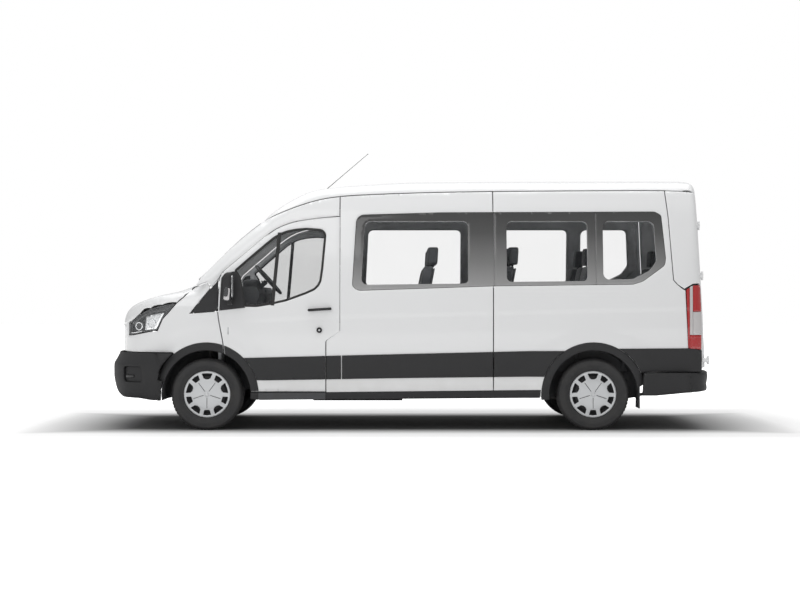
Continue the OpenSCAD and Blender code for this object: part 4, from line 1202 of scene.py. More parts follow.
def wall_with_bay(wall, x0, x1, at_end):
    """A wall whose window bay is open to its end, where a seam runs through the glass band."""
    bay = split_outline(band_hole, x0, x1)
    edge = x1 if at_end else x0
    order = left_hand(bay)
    # The run starts after the stretch on the seam, and goes round the bay backwards
    run = []
    n = len(order)
    on_seam = [abs(q[0] - edge) < 1e-3 for q in order]
    i = next(j for j in range(n) if on_seam[j] and not on_seam[(j + 1) % n])
    while True:
        run.append(order[i])
        i = (i + 1) % n
        if abs(order[i][0] - edge) < 1e-3:
            run.append(order[i])
            break
    run = arr(run)[::-1]
    p = left_hand(wall)
    out, done = [], False
    for i in range(len(p)):
        a, b = p[i], p[(i + 1) % len(p)]
        out.append(a)
        if not done and abs(a[0] - edge) < 1e-3 and abs(b[0] - edge) < 1e-3:
            out += list(run)
            done = True
    return arr(out)


first = wall_with_bay(FIRST_WALL, PILLAR_X + GAP, SLIDE_END - GAP, True)
second = wall_with_bay(SECOND_WALL, SLIDE_END + GAP, 2700, False)

WALL_SHEET = 22
first_parts = slab([first], on_cab, WALL_SHEET, 2.5)
second_parts = slab([second], on_cab, WALL_SHEET, 2.5)
pair("front_wall", first_parts, "body", [WHITE, LINING], ("left_side_panel", "sliding_door"),
     "white_paint")
pair("rear_quarter", slab([QUARTER], on_cab, WALL_SHEET, 1.5, step=20), "body", [WHITE, LINING],
     slot="white_paint")
pair("rear_wall", second_parts, "body", [WHITE, LINING], (None, "right_side_panel"), "white_paint")

lining = slab([grown(BAND, 16)] + windows, on_cab, 34, 3.0, first=9.0)
new_piece("window_linings", *both(lining)[:2], "body", LINING, None, "trim")

# ---- Side glass ----

frit_parts, pane_parts, seal_parts = [], [], []
for x0, x1 in ((-700, JOINT_1), (JOINT_1, JOINT_2), (JOINT_2, 2700)):
    strip = split_outline(grown(BAND, -1.5), x0 + 2.5, x1 - 2.5)
    frit_parts.append(slab([strip] + [grown(w, 0) for w in windows if x0 < w[:, 0].mean() < x1], on_cab,
                           5, 1.0))
    for w in windows:
        if x0 < w[:, 0].mean() < x1:
            pane_parts.append(slab([grown(w, -0.2)], on_cab, 5, 0.4, first=0.4))
seal_parts.append(slab([grown(BAND, 2.6), grown(BAND, -6)], on_cab, 8, 1.0, first=1.6, step=12))
# The glass band's print carries a painted reflection, lighter towards the bottom
new_piece("glass_band", *both(joined(frit_parts))[:2], "body", FRIT_PAINTED_REFLECTION, "side_glass", "glass")
new_piece("side_panes", *both(joined(pane_parts))[:2], "body", CLEAR, None, "glass")
new_piece("band_seals", *both(joined(seal_parts))[:2], "body", SEAL, None, "black_plastic")

# ---- Pillars, roof and windscreen ----

pillar_parts = slab([PILLAR], on_cab, 24, 2.5)
new_piece("cab_pillars", *both(pillar_parts)[:2], "body", WHITE, "cab_frame", "white_paint")

edge3 = on_cab(gutter - [0, -4.0])[0]


def centre_place(p):
    """(distance along the centre line, y) of points on the surface."""
    out = []
    for q in p:
        k = int(np.argmin((CUT[:, 0] - q[0]) ** 2 + (CUT[:, 1] - q[2]) ** 2))
        best = None
        for j in (max(k - 1, 0), min(k, len(CUT) - 2)):
            a, b = CUT[j], CUT[j + 1]
            d = b - a
            t = float(np.clip(((q[0] - a[0]) * d[0] + (q[2] - a[1]) * d[1]) / (d @ d), 0, 1))
            e = float(np.hypot(*(a + d * t - [q[0], q[2]])))
            if best is None or e < best[0]:
                best = (e, cut_len[j] + t * (cut_len[j + 1] - cut_len[j]))
        out.append([best[1], q[1]])
    return arr(out)


roof_edge = centre_place(edge3)
roof_s0 = along_centre(x=screen_head) + 8
roof_s1 = cut_len[-1] - 2
roof_edge = roof_edge[(roof_edge[:, 0] > roof_s0) & (roof_edge[:, 0] < roof_s1 - 60)]
roof_right = np.vstack([[[roof_s0, SCREEN_Y + 2]], roof_edge,
                        [[roof_s1 - 16, roof_edge[-1, 1] - 5], [roof_s1, roof_edge[-1, 1] - 18]]])
ROOF_LOOP = np.vstack([roof_right, roof_right[::-1] * [1, -1]])
roof_parts = slab([ROOF_LOOP], over_cab, WALL_SHEET, 2.0, step=GRID * 1.1, facing=-1)
new_piece("roof_skin", roof_parts[0], roof_parts[1], "body", [WHITE, LINING], "roof_panel",
          "white_paint",
          roof_parts[2])
gutter_run = np.vstack([(gutter - [0, 4.2])[8:-6], (gutter + [0, 3.4])[8:-6][::-1]])
gutter_strip = slab([gutter_run], on_cab, 8, 0.8, first=3.5, step=14, edge_step=24)
new_piece("roof_gutters", *both(gutter_strip)[:2], "body", SEAL, None, "black_plastic")

s0, s1 = along_centre(x=screen_foot) + 4, along_centre(x=screen_head) - 2
GLASS_LOOP = fillet([[s0, -SCREEN_Y + 4], [s0, SCREEN_Y - 4], [s1, SCREEN_Y - 4], [s1, -SCREEN_Y + 4]],
                    60)
inner_glass = fillet([[s0 + 95, -SCREEN_Y + 62], [s0 + 95, SCREEN_Y - 62], [s1 - 62, SCREEN_Y - 62],
                      [s1 - 62, -SCREEN_Y + 62]], 90)
screen_frit = slab([GLASS_LOOP, inner_glass], over_cab, 6, 1.0, facing=-1)
screen_pane = slab([grown(inner_glass, -0.2)], over_cab, 6, 0.4, facing=-1)
new_piece("windscreen_pane", screen_pane[0], screen_pane[1], "body", TINT, "windscreen", "glass")
new_piece("windscreen_border", screen_frit[0], screen_frit[1], "body", GLOSS, None, "black_plastic")

# ---- Wings, bonnet, scuttle ----

pair("wing", slab([WING], on_whole, 8, 2.5), "body", WHITE, ("wings", None), "white_paint")

seam = centre_place(on_whole(arr(bonnet_seam))[0])
lip_s = along_centre(z=1042)
rear_s = along_centre(x=-2156)
seam = seam[(seam[:, 0] > lip_s + 6) & (seam[:, 0] < rear_s)]
right = np.vstack([[[lip_s, 0]], [[lip_s, 540]], [[lip_s + 8, 640]], seam,
                   [[rear_s, seam[-1, 1] - 14]]])
BONNET = np.vstack([right, right[::-1] * [1, -1]])
keep_b = np.linalg.norm(BONNET - np.roll(BONNET, 1, 0), axis=1) > 0.5
bonnet_parts = slab([BONNET[keep_b]], over_nose, 12, 3.0, facing=-1)
new_piece("bonnet_skin", bonnet_parts[0], bonnet_parts[1], "bonnet", WHITE, "bonnet", "white_paint")
scuttle_s = along_centre(x=-2150) + 84
SCUTTLE = fillet([[scuttle_s, -815], [scuttle_s, 815], [s0 - 4, 832], [s0 - 4, -832]], 12)
scuttle_parts = slab([SCUTTLE], from_centre(whole_shape, -64.0), 8, 2.0, facing=-1)
new_piece("scuttle", scuttle_parts[0], scuttle_parts[1], "body", PLASTIC, None, "black_plastic")

# ---- Cab doors ----


def circle(x, z, r, n=40, squeeze=1.0):
    w = np.arange(n) * 2 * math.pi / n
    return np.stack([x + r * np.cos(w), z + r * squeeze * np.sin(w)], 1)


HINGE_X = AXLE_F + 210
door_hole = grown(DOOR_WINDOW, 1.5)
door_skin = slab([DOOR, door_hole], on_cab, 9, 2.5)
frame_loop = split_outline(grown(DOOR, -9), HINGE_X + 24, 0)
door_frame = slab([frame_loop, grown(DOOR_WINDOW, -6)], on_cab, 36, 3, first=9.2, step=GRID * 1.4)
pair("door_skin", door_skin, ("left_cab_door", "right_cab_door"), WHITE,
     ("left_cab_door", "right_cab_door"),
     "white_paint")
pair("door_frame", door_frame, ("left_cab_door", "right_cab_door"), LINING, slot="trim")
glass_loop = grown(DOOR_WINDOW, -19)
pane = slab([glass_loop], on_cab, 5, 0.6, first=4)
pair("door_pane", pane, ("left_cab_door", "right_cab_door"), TINT,
     ("left_cab_glass", "right_cab_glass"), "glass")
bar_line = arr([[-1280, 1920], [-1345, 1212], [-1311, 1210], [-1246, 1920]])
seals = joined([
    slab([grown(DOOR_WINDOW, 1.2), grown(DOOR_WINDOW, -20)], on_cab, 14, 2.0, first=-1.5, step=10),
    slab([bar_line], on_cab, 7, 1.5, first=-3.0, step=20),
])
pair("door_seals", seals, ("left_cab_door", "right_cab_door"), SEAL, slot="black_plastic")

proud = from_side(cab_shape, 7.0)
pair("corner_trim", slab([fillet(CORNER_DOOR, [0, 0, 14, 20, 30, 30, 10, 8])], proud, 20, 4.0),
     ("left_cab_door", "right_cab_door"), PLASTIC, slot="black_plastic")
corner_body = slab([fillet(CORNER_BODY, [8, 0, 4, 0, 4])], from_side(whole_shape, 5.0), 14, 3.0)
new_piece("corner_fillers", *both(corner_body)[:2], "body", PLASTIC, None, "black_plastic")




# Mirrors: an arm, a deep shell, the glass on its back and a clear side repeater
def blob(low, high, power=3.2, rows=22, turns=32, squash=None):
    """A rounded box with soft faces."""
    lo, hi = arr(low), arr(high)
    c, h = (lo + hi) / 2, (hi - lo) / 2
    verts, faces = [], []

    def bend(v):
        return math.copysign(abs(v) ** (2 / power), v)

    for i in range(rows + 1):
        a = math.pi * (i / rows - 0.5)
        for j in range(turns):
            b = 2 * math.pi * j / turns
            verts.append([bend(math.cos(a)) * bend(math.cos(b)), bend(math.cos(a)) * bend(math.sin(b)),
                          bend(math.sin(a))])
    for i in range(rows):
        for j in range(turns):
            k = (j + 1) % turns
            faces.append((i * turns + j, i * turns + k, (i + 1) * turns + k, (i + 1) * turns + j))
    v = arr(verts) * h
    if squash is not None:
        v = squash(v, h)
    v = v + c
    return welded(v, faces, [0] * len(faces), 0.3)


def lean_mirror(v, h):
    v = v.copy()
    t = v[:, 2] / h[2]
    v[:, 0] += 10 * t - 14 * (v[:, 1] / h[1]) ** 2
    v[:, 1] *= 1 - 0.10 * t
    return v


shell = blob([-1774, 1062, 1262], [-1700, 1232, 1530], 4.2, squash=lean_mirror)
arm = blob([-1762, 1000, 1214], [-1704, 1120, 1290], 3.0)
post = blob([-1758, 1004, 1236], [-1708, 1036, 1490], 3.0)
mirror_parts = joined([shell, arm, post])
pair("mirror_shell", mirror_parts, ("left_cab_door", "right_cab_door"), PLASTIC,
     ("left_mirror", "right_mirror"),
     "black_plastic")


def flat_x(x):
    def land(uv):
        n = len(uv)
        return np.stack([np.full(n, x), uv[:, 0], uv[:, 1]], 1), np.tile([1.0, 0, 0], (n, 1))

    return land


mirror_glass = slab([fillet([[1062, 1290], [1214, 1290], [1208, 1500], [1072, 1500]], 24)],
                    flat_x(-1694.0), 8, 2)
pair("mirror_glass", mirror_glass, ("left_cab_door", "right_cab_door"), REFLECTOR, slot="glass")


def flat_y(y):
    def land(uv):
        n = len(uv)
        return np.stack([uv[:, 0], np.full(n, y), uv[:, 1]], 1), np.tile([0, 1.0, 0], (n, 1))

    return land


repeater = slab([fillet([[-1784, 1262], [-1718, 1254], [-1708, 1380], [-1762, 1394]], 18)],
                flat_y(1236.0), 16, 3)
pair("mirror_repeater", repeater, ("left_cab_door", "right_cab_door"), LENS, slot="lamp_clear")
inner_rep = slab([fillet([[-1778, 1268], [-1724, 1260], [-1714, 1374], [-1758, 1386]], 14)],
                 flat_y(1231.0), 8, 3)
pair("mirror_reflector", inner_rep, ("left_cab_door", "right_cab_door"), CLOUDY, slot="lamp_clear")

# Door handles and locks
grip = brick([-986, SIDE - 2, 1160], [-754, SIDE + 24, 1186], 11)
grip = turned(grip, "y", -3.6, (-870, 0, 1173))
lock = lathe([[0, SIDE + 8], [9, SIDE + 8], [12, SIDE + 6], [25, SIDE + 5], [27, SIDE + 2],
              [27, SIDE - 6], [0, SIDE - 6]],
             32, (-874, 0, 972))
pair("door_grip", joined([grip, lock]), ("left_cab_door", "right_cab_door"), PLASTIC,
     slot="black_plastic")
core = lathe([[0, SIDE + 10], [9, SIDE + 9.5], [10, SIDE + 4], [0, SIDE + 4]], 24, (-874, 0, 972))
pair("door_lock", core, ("left_cab_door", "right_cab_door"), SILVER, slot="steel")

# ---- Mouldings, flares, sills ----


def flare_level(axle):
    def level(x, z):
        r = np.hypot(x - axle, z - TYRE_R)
        return 14 - 9 * np.clip((r - 462) / 46, -1, 1) ** 2

    return level


top_xs, top_zs = [-1546, -92, 1458, 2102, 2669], [704, 740, 776, 790, 803]
low_xs, low_zs = [-1468, -92, 1313], [484, 507, 523]


def band(x0, x1, first_end=None, last_end=None):
    xs = np.linspace(x0, x1, max(3, int((x1 - x0) / 120)))
    top = np.stack([xs, np.interp(xs, top_xs, top_zs)], 1)
    low = np.stack([xs, np.interp(xs, low_xs, low_zs)], 1)
    if first_end is not None:
        top, low = top[1:], low[1:]
    if last_end is not None:
        top, low = top[:-1], low[:-1]
    parts = [low] + ([last_end] if last_end is not None else []) + [top[::-1]]
    return np.vstack(parts + ([first_end] if first_end is not None else []))


def round_to(axle, r, z0, z1, tail_side, n=14):
    zs = np.linspace(z0, z1, n)
    dx = np.sqrt(np.maximum(r * r - (zs - TYRE_R) ** 2, 0))
    return np.stack([axle + (dx if tail_side else -dx), zs], 1)


OUT_R = ARCH_R + FLARE_W
raised = from_side(cab_shape, 12.0)
low_raised = from_side(cab_shape, 6.0)
door_band = band(-1500, STEP_X - 2, first_end=round_to(AXLE_F, OUT_R + 1.2, 703, 487, True))
door_flare = np.vstack([arc(AXLE_F, OUT_R, 70.2, 4.0), arc(AXLE_F, ARCH_R - 4, 4.4, 64.6)])
on_flare_f, on_flare_r = [from_side(whole_shape, flare_level(a)) for a in (AXLE_F, AXLE_R)]
door_black = joined([
    slab([door_band], raised, 16, 5.0),
    slab([door_flare], on_flare_f, 34, 5.0, step=18),
])
pair("door_moulding", door_black, ("left_cab_door", "right_cab_door"), PLASTIC, slot="black_plastic")

side_black = [
    slab([band(STEP_X + 8, -664)], raised, 16, 4.0),
    slab([band(-655, 809)], raised, 16, 4.0),
    slab([band(818, 1330, last_end=round_to(AXLE_R, OUT_R + 1.2, 520, 770, False))], raised, 16, 4.0),
    slab([np.vstack([arc(AXLE_F, OUT_R, 163, 72.2), arc(AXLE_F, ARCH_R - 4, 66.8, 165)])], on_flare_f,
         40, 5.0, step=18),
    slab([np.vstack([arc(AXLE_F, OUT_R, 2.4, -6), arc(AXLE_F, ARCH_R - 4, -6, 2.8)])], on_flare_f, 34,
         4.0, step=18),
    slab([np.vstack([arc(AXLE_R, OUT_R, 186, 12), arc(AXLE_R, ARCH_R - 4, 8, 187)])], on_flare_r, 40,
         5.0, step=18),
    slab([[[AXLE_F + OUT_R + 2, 294], [1264, 314], [1272, 392], [STEP_X - 60, 370], [-1449, 366]]],
         low_raised, 22, 4.0),
    slab([np.vstack([round_to(AXLE_R, OUT_R + 1.2, 560, 792, True)[::-1],
                     [[2330, 566], [2836, 570], [2838, 776], [2700, 796]]])],
         raised, 16, 4.0),
]
new_piece("side_band", *both(joined(side_black))[:2], "body", PLASTIC, "side_mouldings",
          "black_plastic")


# Liners in the wheel arches
def liner(x, y0, y1, r, a0, a1):
    w = np.radians(np.linspace(a0, a1, 40))
    prof = [[r, y1], [r, y0 + 60], [r - 40, y0], [20, y0], [20, y0 - 6], [r - 38, y0 - 6],
            [r + 6, y0 + 58], [r + 6, y1]]
    k = len(prof)
    verts = [[x + p[0] * math.cos(a), p[1], TYRE_R + p[0] * math.sin(a)] for a in w for p in prof]
    faces = []
    for i in range(len(w) - 1):
        for a in range(k):
            b = (a + 1) % k
            faces.append((i * k + a, (i + 1) * k + a, (i + 1) * k + b, i * k + b))
    faces += [tuple(range(k)), tuple(range((len(w) - 1) * k, len(w) * k))[::-1]]
    return arr(verts), faces, [0] * len(faces)


new_piece("arch_liners", *both(joined([liner(AXLE_F, 528, 930, 441, 4, 188),
                                       liner(AXLE_R, 668, 968, 446, -6, 186)]))[:2],
          "body", MAT, None, "black_plastic")

# ---- Bumpers ----


def wrap_plan(points, x0, sign, profile_z, profile_in):
    """Lays an outline of (distance round the bumper from its middle, z) on a bumper."""
    half = smooth_line([[x0 + sign * p[0], HALF_W - p[1]] for p in points], 12)
    plan = np.vstack([half[::-1] * [1, -1], half[1:]])
    run = np.concatenate([[0], np.cumsum(np.linalg.norm(np.diff(plan, axis=0), axis=1))])
    run -= run[-1] / 2

    def land(uv):
        u, z = uv[:, 0], uv[:, 1]

        def spot(s):
            return np.stack([np.interp(s, run, plan[:, 0]), np.interp(s, run, plan[:, 1])], 1)

        t = spot(u + 12) - spot(u - 12)
        t /= np.linalg.norm(t, axis=1)[:, None]
        n2 = np.stack([-t[:, 1], t[:, 0]], 1) * sign * -1
        n2 = np.where(((n2[:, 0] * -sign) < -0.2)[:, None], -n2, n2)
        front = np.abs(n2[:, 0])
        weight = 0.22 + 0.78 * ramp(front, 0.1, 0.8)

        def sink(zz):
            return np.interp(zz, profile_z, profile_in) * weight

        d = sink(z)
        tilt = (sink(z + 6) - sink(z - 6)) / 12
        q = spot(u) - n2 * d[:, None]
        p = np.stack([q[:, 0], q[:, 1], z], 1)
        n = np.stack([n2[:, 0], n2[:, 1], tilt], 1)
        return p, n / np.linalg.norm(n, axis=1)[:, None]

    def at_x(x):
        right = plan[len(plan) // 2 :]
        r = run[len(plan) // 2 :]
        order = np.argsort(right[:, 0] * sign)
        return float(np.interp(x * sign, right[order, 0] * sign, r[order]))

    return land, at_x


BUMP_F = [[0, 1029.5], [4, 800], [16, 640], [75, 400], [190, 210], [390, 70], [590, 12], [720, 0]]
on_bumper, at_x = wrap_plan(BUMP_F, NOSE, 1, [270, 290, 310, 355, 405, 456, 506, 607, 640, 690, 735,
                                              760],
                            [150, 104, 72, 36, 20, 9, 1, 0, 4, 34, 58, 64])
edge_f = [[-2287, 748], [-2337, 700], [-2397, 629], [-2428, 560], [-2443, 491], [-2386, 476],
          [-2398, 400], [-2397, 290]]
half_out = [[0, 300], [at_x(-2900), 300], [at_x(-2674), 304], [at_x(-2505), 288]]
half_out += [[at_x(x), z] for x, z in edge_f[::-1]] + [[at_x(-2793), 752], [0, 752]]
half_out = arr(half_out)
BUMPER = np.vstack([half_out[1:-1], half_out[1:-1][::-1] * [-1, 1]])
fog = fillet([[at_x(-2806), 462], [at_x(-2602), 462], [at_x(-2602), 617], [at_x(-2806), 617]], 34)
intake = fillet([[-430, 384], [430, 384], [430, 520], [-430, 520]], 24)
number = fillet([[-265, 560], [265, 560], [265, 676], [-265, 676]], 8)
bumper_parts = slab([fillet(BUMPER, 4), fog, fog * [-1, 1], intake], on_bumper, 30, 4.0, facing=-1)


def sunk(land, d):
    def deeper(uv):
        p, n = land(uv)
        return p - n * d, n

    return deeper


fog_panel = slab([grown(fog, 4)], sunk(on_bumper, 24), 8, 2.0, facing=-1, step=16)
fog_left = slab([grown(fog * [-1, 1], 4)], sunk(on_bumper, 24), 8, 2.0, facing=-1, step=16)
bumper_all = joined([bumper_parts, fog_panel, fog_left])
new_piece("front_bumper_cover", bumper_all[0], bumper_all[1], "body", PLASTIC, "front_bumper",
          "black_plastic")
slats = [slab([fillet([[-436, z], [436, z], [436, z + 16], [-436, z + 16]], 5)], sunk(on_bumper, 22),
              30, 3, facing=-1, step=20)
         for z in (398, 430, 462, 494)]
screen_back = slab([grown(intake, 14)], sunk(on_bumper, 58), 6, 2, facing=-1)
new_piece("lower_intake", *joined(slats)[:2], "body", GLOSS, None, "black_plastic")
new_piece("intake_screen", *screen_back[:2], "body", SEAL, None, "black_plastic")
slot_loop = fillet([[at_x(-2790), 500], [at_x(-2700), 506], [at_x(-2700), 534], [at_x(-2790), 534]], 12)
fog_slots = joined([slab([slot_loop * [s, 1]], sunk(on_bumper, 12), 18, 4, facing=-1,
                         step=12) for s in (1, -1)])
new_piece("fog_slots", *fog_slots[:2], "body", GLOSS, None, "black_plastic")
plate_f = slab([number], sunk(on_bumper, -6), 6, 1.5, facing=-1)
new_piece("front_plate_panel", *plate_f[:2], "body", PLASTIC, None, "black_plastic")

BUMP_R = [[0, 1029.5], [4, 800], [12, 560], [40, 330], [85, 160], [150, 60], [260, 10], [430, 0],
          [790, 0]]
on_rear, at_xr = wrap_plan(BUMP_R, TAIL, -1, [330, 345, 370, 400, 440, 500, 540, 556],
                           [52, 34, 18, 10, 16, 6, 4, 12])
rear_half_out = arr([[at_xr(2883), 376], [at_xr(2676), 366], [at_xr(2378), 338], [at_xr(2246), 338],
                     [at_xr(2262), 558]])
rear_loop = np.vstack([[[300, 376]], rear_half_out, rear_half_out[::-1] * [-1, 1], [[-300, 376]]])
rear_bumper_parts = slab([rear_loop], on_rear, 30, 5.0)
top_half = smooth_line([[TAIL - 6 - p[0], HALF_W - 10 - p[1]] for p in BUMP_R[:7]], 6)
top_half = np.vstack([[[TAIL - 6, 0.5]], top_half[top_half[:, 1] > 8]])
step_outline = np.vstack([top_half, [[TAIL - 190, 968], [TAIL - 190, 0]]])
step_outline = np.vstack([step_outline[:-1], step_outline[:-1][::-1] * [1, -1]])
step_top = push(step_outline, 538, 556, "z", 4)
new_piece("rear_bumper_cover", *joined([rear_bumper_parts, step_top])[:2], "body", PLASTIC,
          "rear_bumper",
          "black_plastic")
repeated("step_ribs", brick([-5, -520, -3], [5, 520, 3], 2), "body", MAT, 6, (TAIL - 113, 0, 557),
         (16, 0, 0),
         slot="black_plastic")

# ---- Grille and headlamps ----

on_front = from_end(nose_shape, -1)
g_out = fillet([[-552, 764], [552, 764], [560, 900], [546, 1032], [-546, 1032], [-560, 900]],
               [40, 40, 0, 30, 30, 0])
g_in = grown(g_out, -20)
grille_frame = slab([g_out, g_in], on_front, 34, 4, facing=-1, step=20)
bars = []
for i, z in enumerate((806, 850, 894, 938, 982)):
    bars.append(slab([fillet([[-536, z], [536, z], [536, z + 15], [-536, z + 15]], 5)],
                     sunk(on_front, 10), 26, 3, facing=-1,
                     step=26))
for i in range(-6, 7):
    y = i * 82
    bars.append(slab([[[y - 5, 782], [y + 5, 782], [y + 5, 1016], [y - 5, 1016]]], sunk(on_front, 22),
                     16, 1, facing=-1,
                     step=40))
new_piece("grille_frame", *grille_frame[:2], "body", GLOSS, "grille", "black_plastic")
new_piece("grille_bars", *joined(bars)[:2], "body", PLASTIC, None, "black_plastic")
new_piece("grille_back", *slab([grown(g_out, -8)], sunk(on_front, 52), 6, 2, facing=-1)[:2], "body",
          SEAL, None,
          "black_plastic")
bright = [slab([fillet([[s * 40 - 500 * (s < 0), z], [s * 40 + 500 * (s > 0), z],
                        [s * 40 + 500 * (s > 0), z + 9],
                        [s * 40 - 500 * (s < 0), z + 9]], 3)], sunk(on_front, 4), 8, 2, facing=-1,
               step=26)
          for s in (1, -1) for z in (853, 941)]
new_piece("grille_strips", *joined(bright)[:2], "body", SILVER, None, "steel")


def level_nose(d):
    return from_side(whole_shape, d)


lens_parts = slab([LAMP], level_nose(1.0), 4, 1.2, step=16)
pair("headlamp_lens", lens_parts, "body", LENS, ("headlamps", None), "lamp_clear")
housing = joined([slab([grown(LAMP, -1), grown(LAMP, -9)], level_nose(-4.0), 52, 1, step=14),
                  slab([grown(LAMP, -6)], level_nose(-54.0), 5, 1, step=20),
                  slab([fillet([[-2740, 1036], [-2709, 1052], [-2634, 1108], [-2521, 1162],
                                [-2407, 1196], [-2300, 1212],
                                [-2350, 1158], [-2500, 1138], [-2620, 1084], [-2700, 1022]], 10)],
                       level_nose(-12.0), 24, 3, step=16)])
pair("headlamp_housing", housing, "body", GLOSS, slot="black_plastic")
mirror_bowl = joined([
    slab([fillet([[-2575, 1108], [-2500, 1128], [-2372, 1148], [-2412, 1084], [-2446, 1010],
                  [-2470, 974], [-2590, 962]], 12)],
         level_nose(-26.0), 20, 8, step=14),
    slab([circle(-2652, 1008, 42), circle(-2652, 1008, 30)], level_nose(-18.0), 26, 4, step=10),
    slab([circle(-2520, 1040, 44), circle(-2520, 1040, 34)], level_nose(-12.0), 16, 4, step=10),
    slab([fillet([[-2742, 936], [-2700, 938], [-2612, 954], [-2616, 962], [-2704, 948], [-2742, 948]],
                 3)], level_nose(-12.0), 16, 2, step=14),
])
pair("headlamp_reflector", mirror_bowl, "body", REFLECTOR, slot="steel")
pair("headlamp_projector", slab([circle(-2652, 1008, 29)], level_nose(-14.0), 12, 8, step=8), "body",
     DARK_STEEL,
     slot="black_plastic")

# ---- Rear corner, lamps and doors ----


post_z = np.linspace(600, 2318, 30)
post = np.vstack([np.stack([rear_edge(post_z) + 5, post_z], 1),
                  np.stack([corner_y(post_z) - 0.6, post_z], 1)[::-1]])
pair("rear_post", slab([post], on_back, 26, 1.5, step=20), "body", WHITE, slot="white_paint")


def zone(points):
    return fillet(points, 5)


red_zones = [
    zone([[2684, 1362], [2716, 1385], [2716, 926], [2716, 792], [2703, 800]]),
    zone([[2750, 1152], [corner_x(1152) - 1, 1152], [corner_x(1405) - 1, 1408], [2752, 1405],
          [2750, 1400]]),
    zone([[2718, 922], [corner_x(922) - 1, 922], [corner_x(784) - 1, 784], [2718, 791]]),
]
frost_zones = [
    zone([[2718, 1388], [2748, 1404], [2748, 925], [2718, 925]]),
    zone([[2750, 1149], [corner_x(1149) - 1, 1149], [corner_x(925) - 1, 925], [2750, 925]]),
]
on_lamp = from_side(cab_shape, 3.0)
pair("tail_lamp_red", joined([slab([q], on_lamp, 26, 3, step=18) for q in red_zones]), "body", RED,
     ("tail_lamps", None), "lamp_red")
pair("tail_lamp_frost", joined([slab([q], on_lamp, 24, 3, first=1.5, step=18) for q in frost_zones]),
     "body", CLOUDY,
     slot="lamp_clear")
pair("tail_lamp_seat", slab([[[2674, 1362], [2750, 1414], [2826, 1416], [2834, 778], [2700, 790]]],
                            on_cab, 6, 1, first=24, step=30),
     "body", SEAL, slot="black_plastic")

door_z = np.linspace(608, 2226, 26)
side_out = np.stack([rear_edge(door_z) - 4, door_z], 1)
REAR_DOOR = np.vstack([[[4.5, 608]], side_out, [[rear_edge(2316) - 62, 2316], [4.5, 2316]]])
rear_hole = fillet([[88, 1438], [rear_edge(1438) - 92, 1438], [rear_edge(2094) - 92, 2094], [88, 2094]],
                   [60, 70, 90, 60])


def door_dish(land, dishes):
    """Presses round-edged fields (y0, y1, z0, z1, depth) into a door."""

    def deeper(uv):
        p, n = land(uv)
        d = 0
        for y0, y1, z0, z1, depth in dishes:
            d = d + depth * ramp(uv[:, 0], y0, y0 + 26) * ramp(-uv[:, 0], -y1, -y1 + 26) \
                * ramp(uv[:, 1], z0, z0 + 26) * ramp(-uv[:, 1], -z1, -z1 + 26)
        return p - np.stack([d, 0 * d, 0 * d], 1), n

    return deeper


right_land = door_dish(on_back, [(120, 800, 700, 1330, 7)])
left_land = door_dish(on_back, [(120, 800, 700, 1330, 7), (60, 500, 1000, 1190, 9)])
rear_door_r = slab([REAR_DOOR, grown(rear_hole, 2)], right_land, 30, 3.0)
rear_door_l = flip_y(slab([REAR_DOOR, grown(rear_hole, 2)], left_land, 30, 3.0))
new_piece("right_rear_skin", rear_door_r[0], rear_door_r[1], "right_rear_door", [WHITE, LINING],
          "right_rear_door",
          "white_paint", rear_door_r[2])
new_piece("left_rear_skin", rear_door_l[0], rear_door_l[1], "left_rear_door", [WHITE, LINING],
          "left_rear_door",
          "white_paint", rear_door_l[2])
REAR_BODIES = ("left_rear_door", "right_rear_door")
rim = grown(rear_hole, -58)
pair("rear_glass_border", slab([grown(rear_hole, -1), rim], on_back, 5, 1.2, step=30), REAR_BODIES,
     GLOSS,
     ("left_rear_glass", "right_rear_glass"), "glass")
pair("rear_pane", slab([grown(rim, -0.3)], on_back, 5, 0.4, first=0.3, step=60), REAR_BODIES, TINT,
     slot="glass")
pair("rear_glass_seal", slab([grown(rear_hole, 1.6), grown(rear_hole, -5)], on_back, 9, 1.2, first=1.5,
                             step=12),
     REAR_BODIES, SEAL, slot="black_plastic")

hinge_axis_x = TAIL - 120 + 16
straps, barrels = [], []
for z in (680, 1500, 1990):
    ax = hinge_axis_x - (z - 900) * 0.055 + 2
    ay = rear_edge(z) + 2
    barrels.append(tube([[ax, ay, z - 42], [ax, ay, z + 42]], 11, 20))
    barrels.append(brick([ax - 60, ay - 4, z - 20], [ax + 2, ay + 16, z + 20], 5))
    straps.append(turned(brick([ax - 20, ay - 128, z - 26], [ax + 4, ay + 2, z + 26], 7), "z", 13,
                         (ax, ay, z)))
    straps.append(tube([[ax, ay, z - 18], [ax, ay, z + 18]], 13, 20))
pair("rear_hinge_strap", joined(straps), REAR_BODIES, WHITE, slot="white_paint")
new_piece("rear_hinge_barrels", *both(joined(barrels))[:2], "body", WHITE, None, "white_paint")
handle_x = float(on_back(arr([[60, 1090]]))[0][0, 0])
rear_handle = brick([handle_x - 6, 22, 1062], [handle_x + 16, 150, 1098], 9)
new_piece("rear_handle", *rear_handle[:2], "right_rear_door", PLASTIC, None, "black_plastic")
new_piece("rear_lamp_bar", *brick([2836, -170, 2334], [2868, 170, 2362], 9)[:2], "body", RED, None,
          "lamp_red")
plate = flip_y(slab([fillet([[80, 1024], [480, 1024], [480, 1166], [80, 1166]], 8)],
                    sunk(left_land, -4), 5, 1.2, step=60))
new_piece("rear_plate_panel", *plate[:2], "left_rear_door", PLASTIC, None, "black_plastic")
plate_lamp = flip_y(brick([handle_x - 2, 130, 1176], [handle_x + 30, 430, 1204], 8))
new_piece("rear_plate_lamp", *plate_lamp[:2], "left_rear_door", PLASTIC, None, "black_plastic")

# ---- Wheels and tyres ----

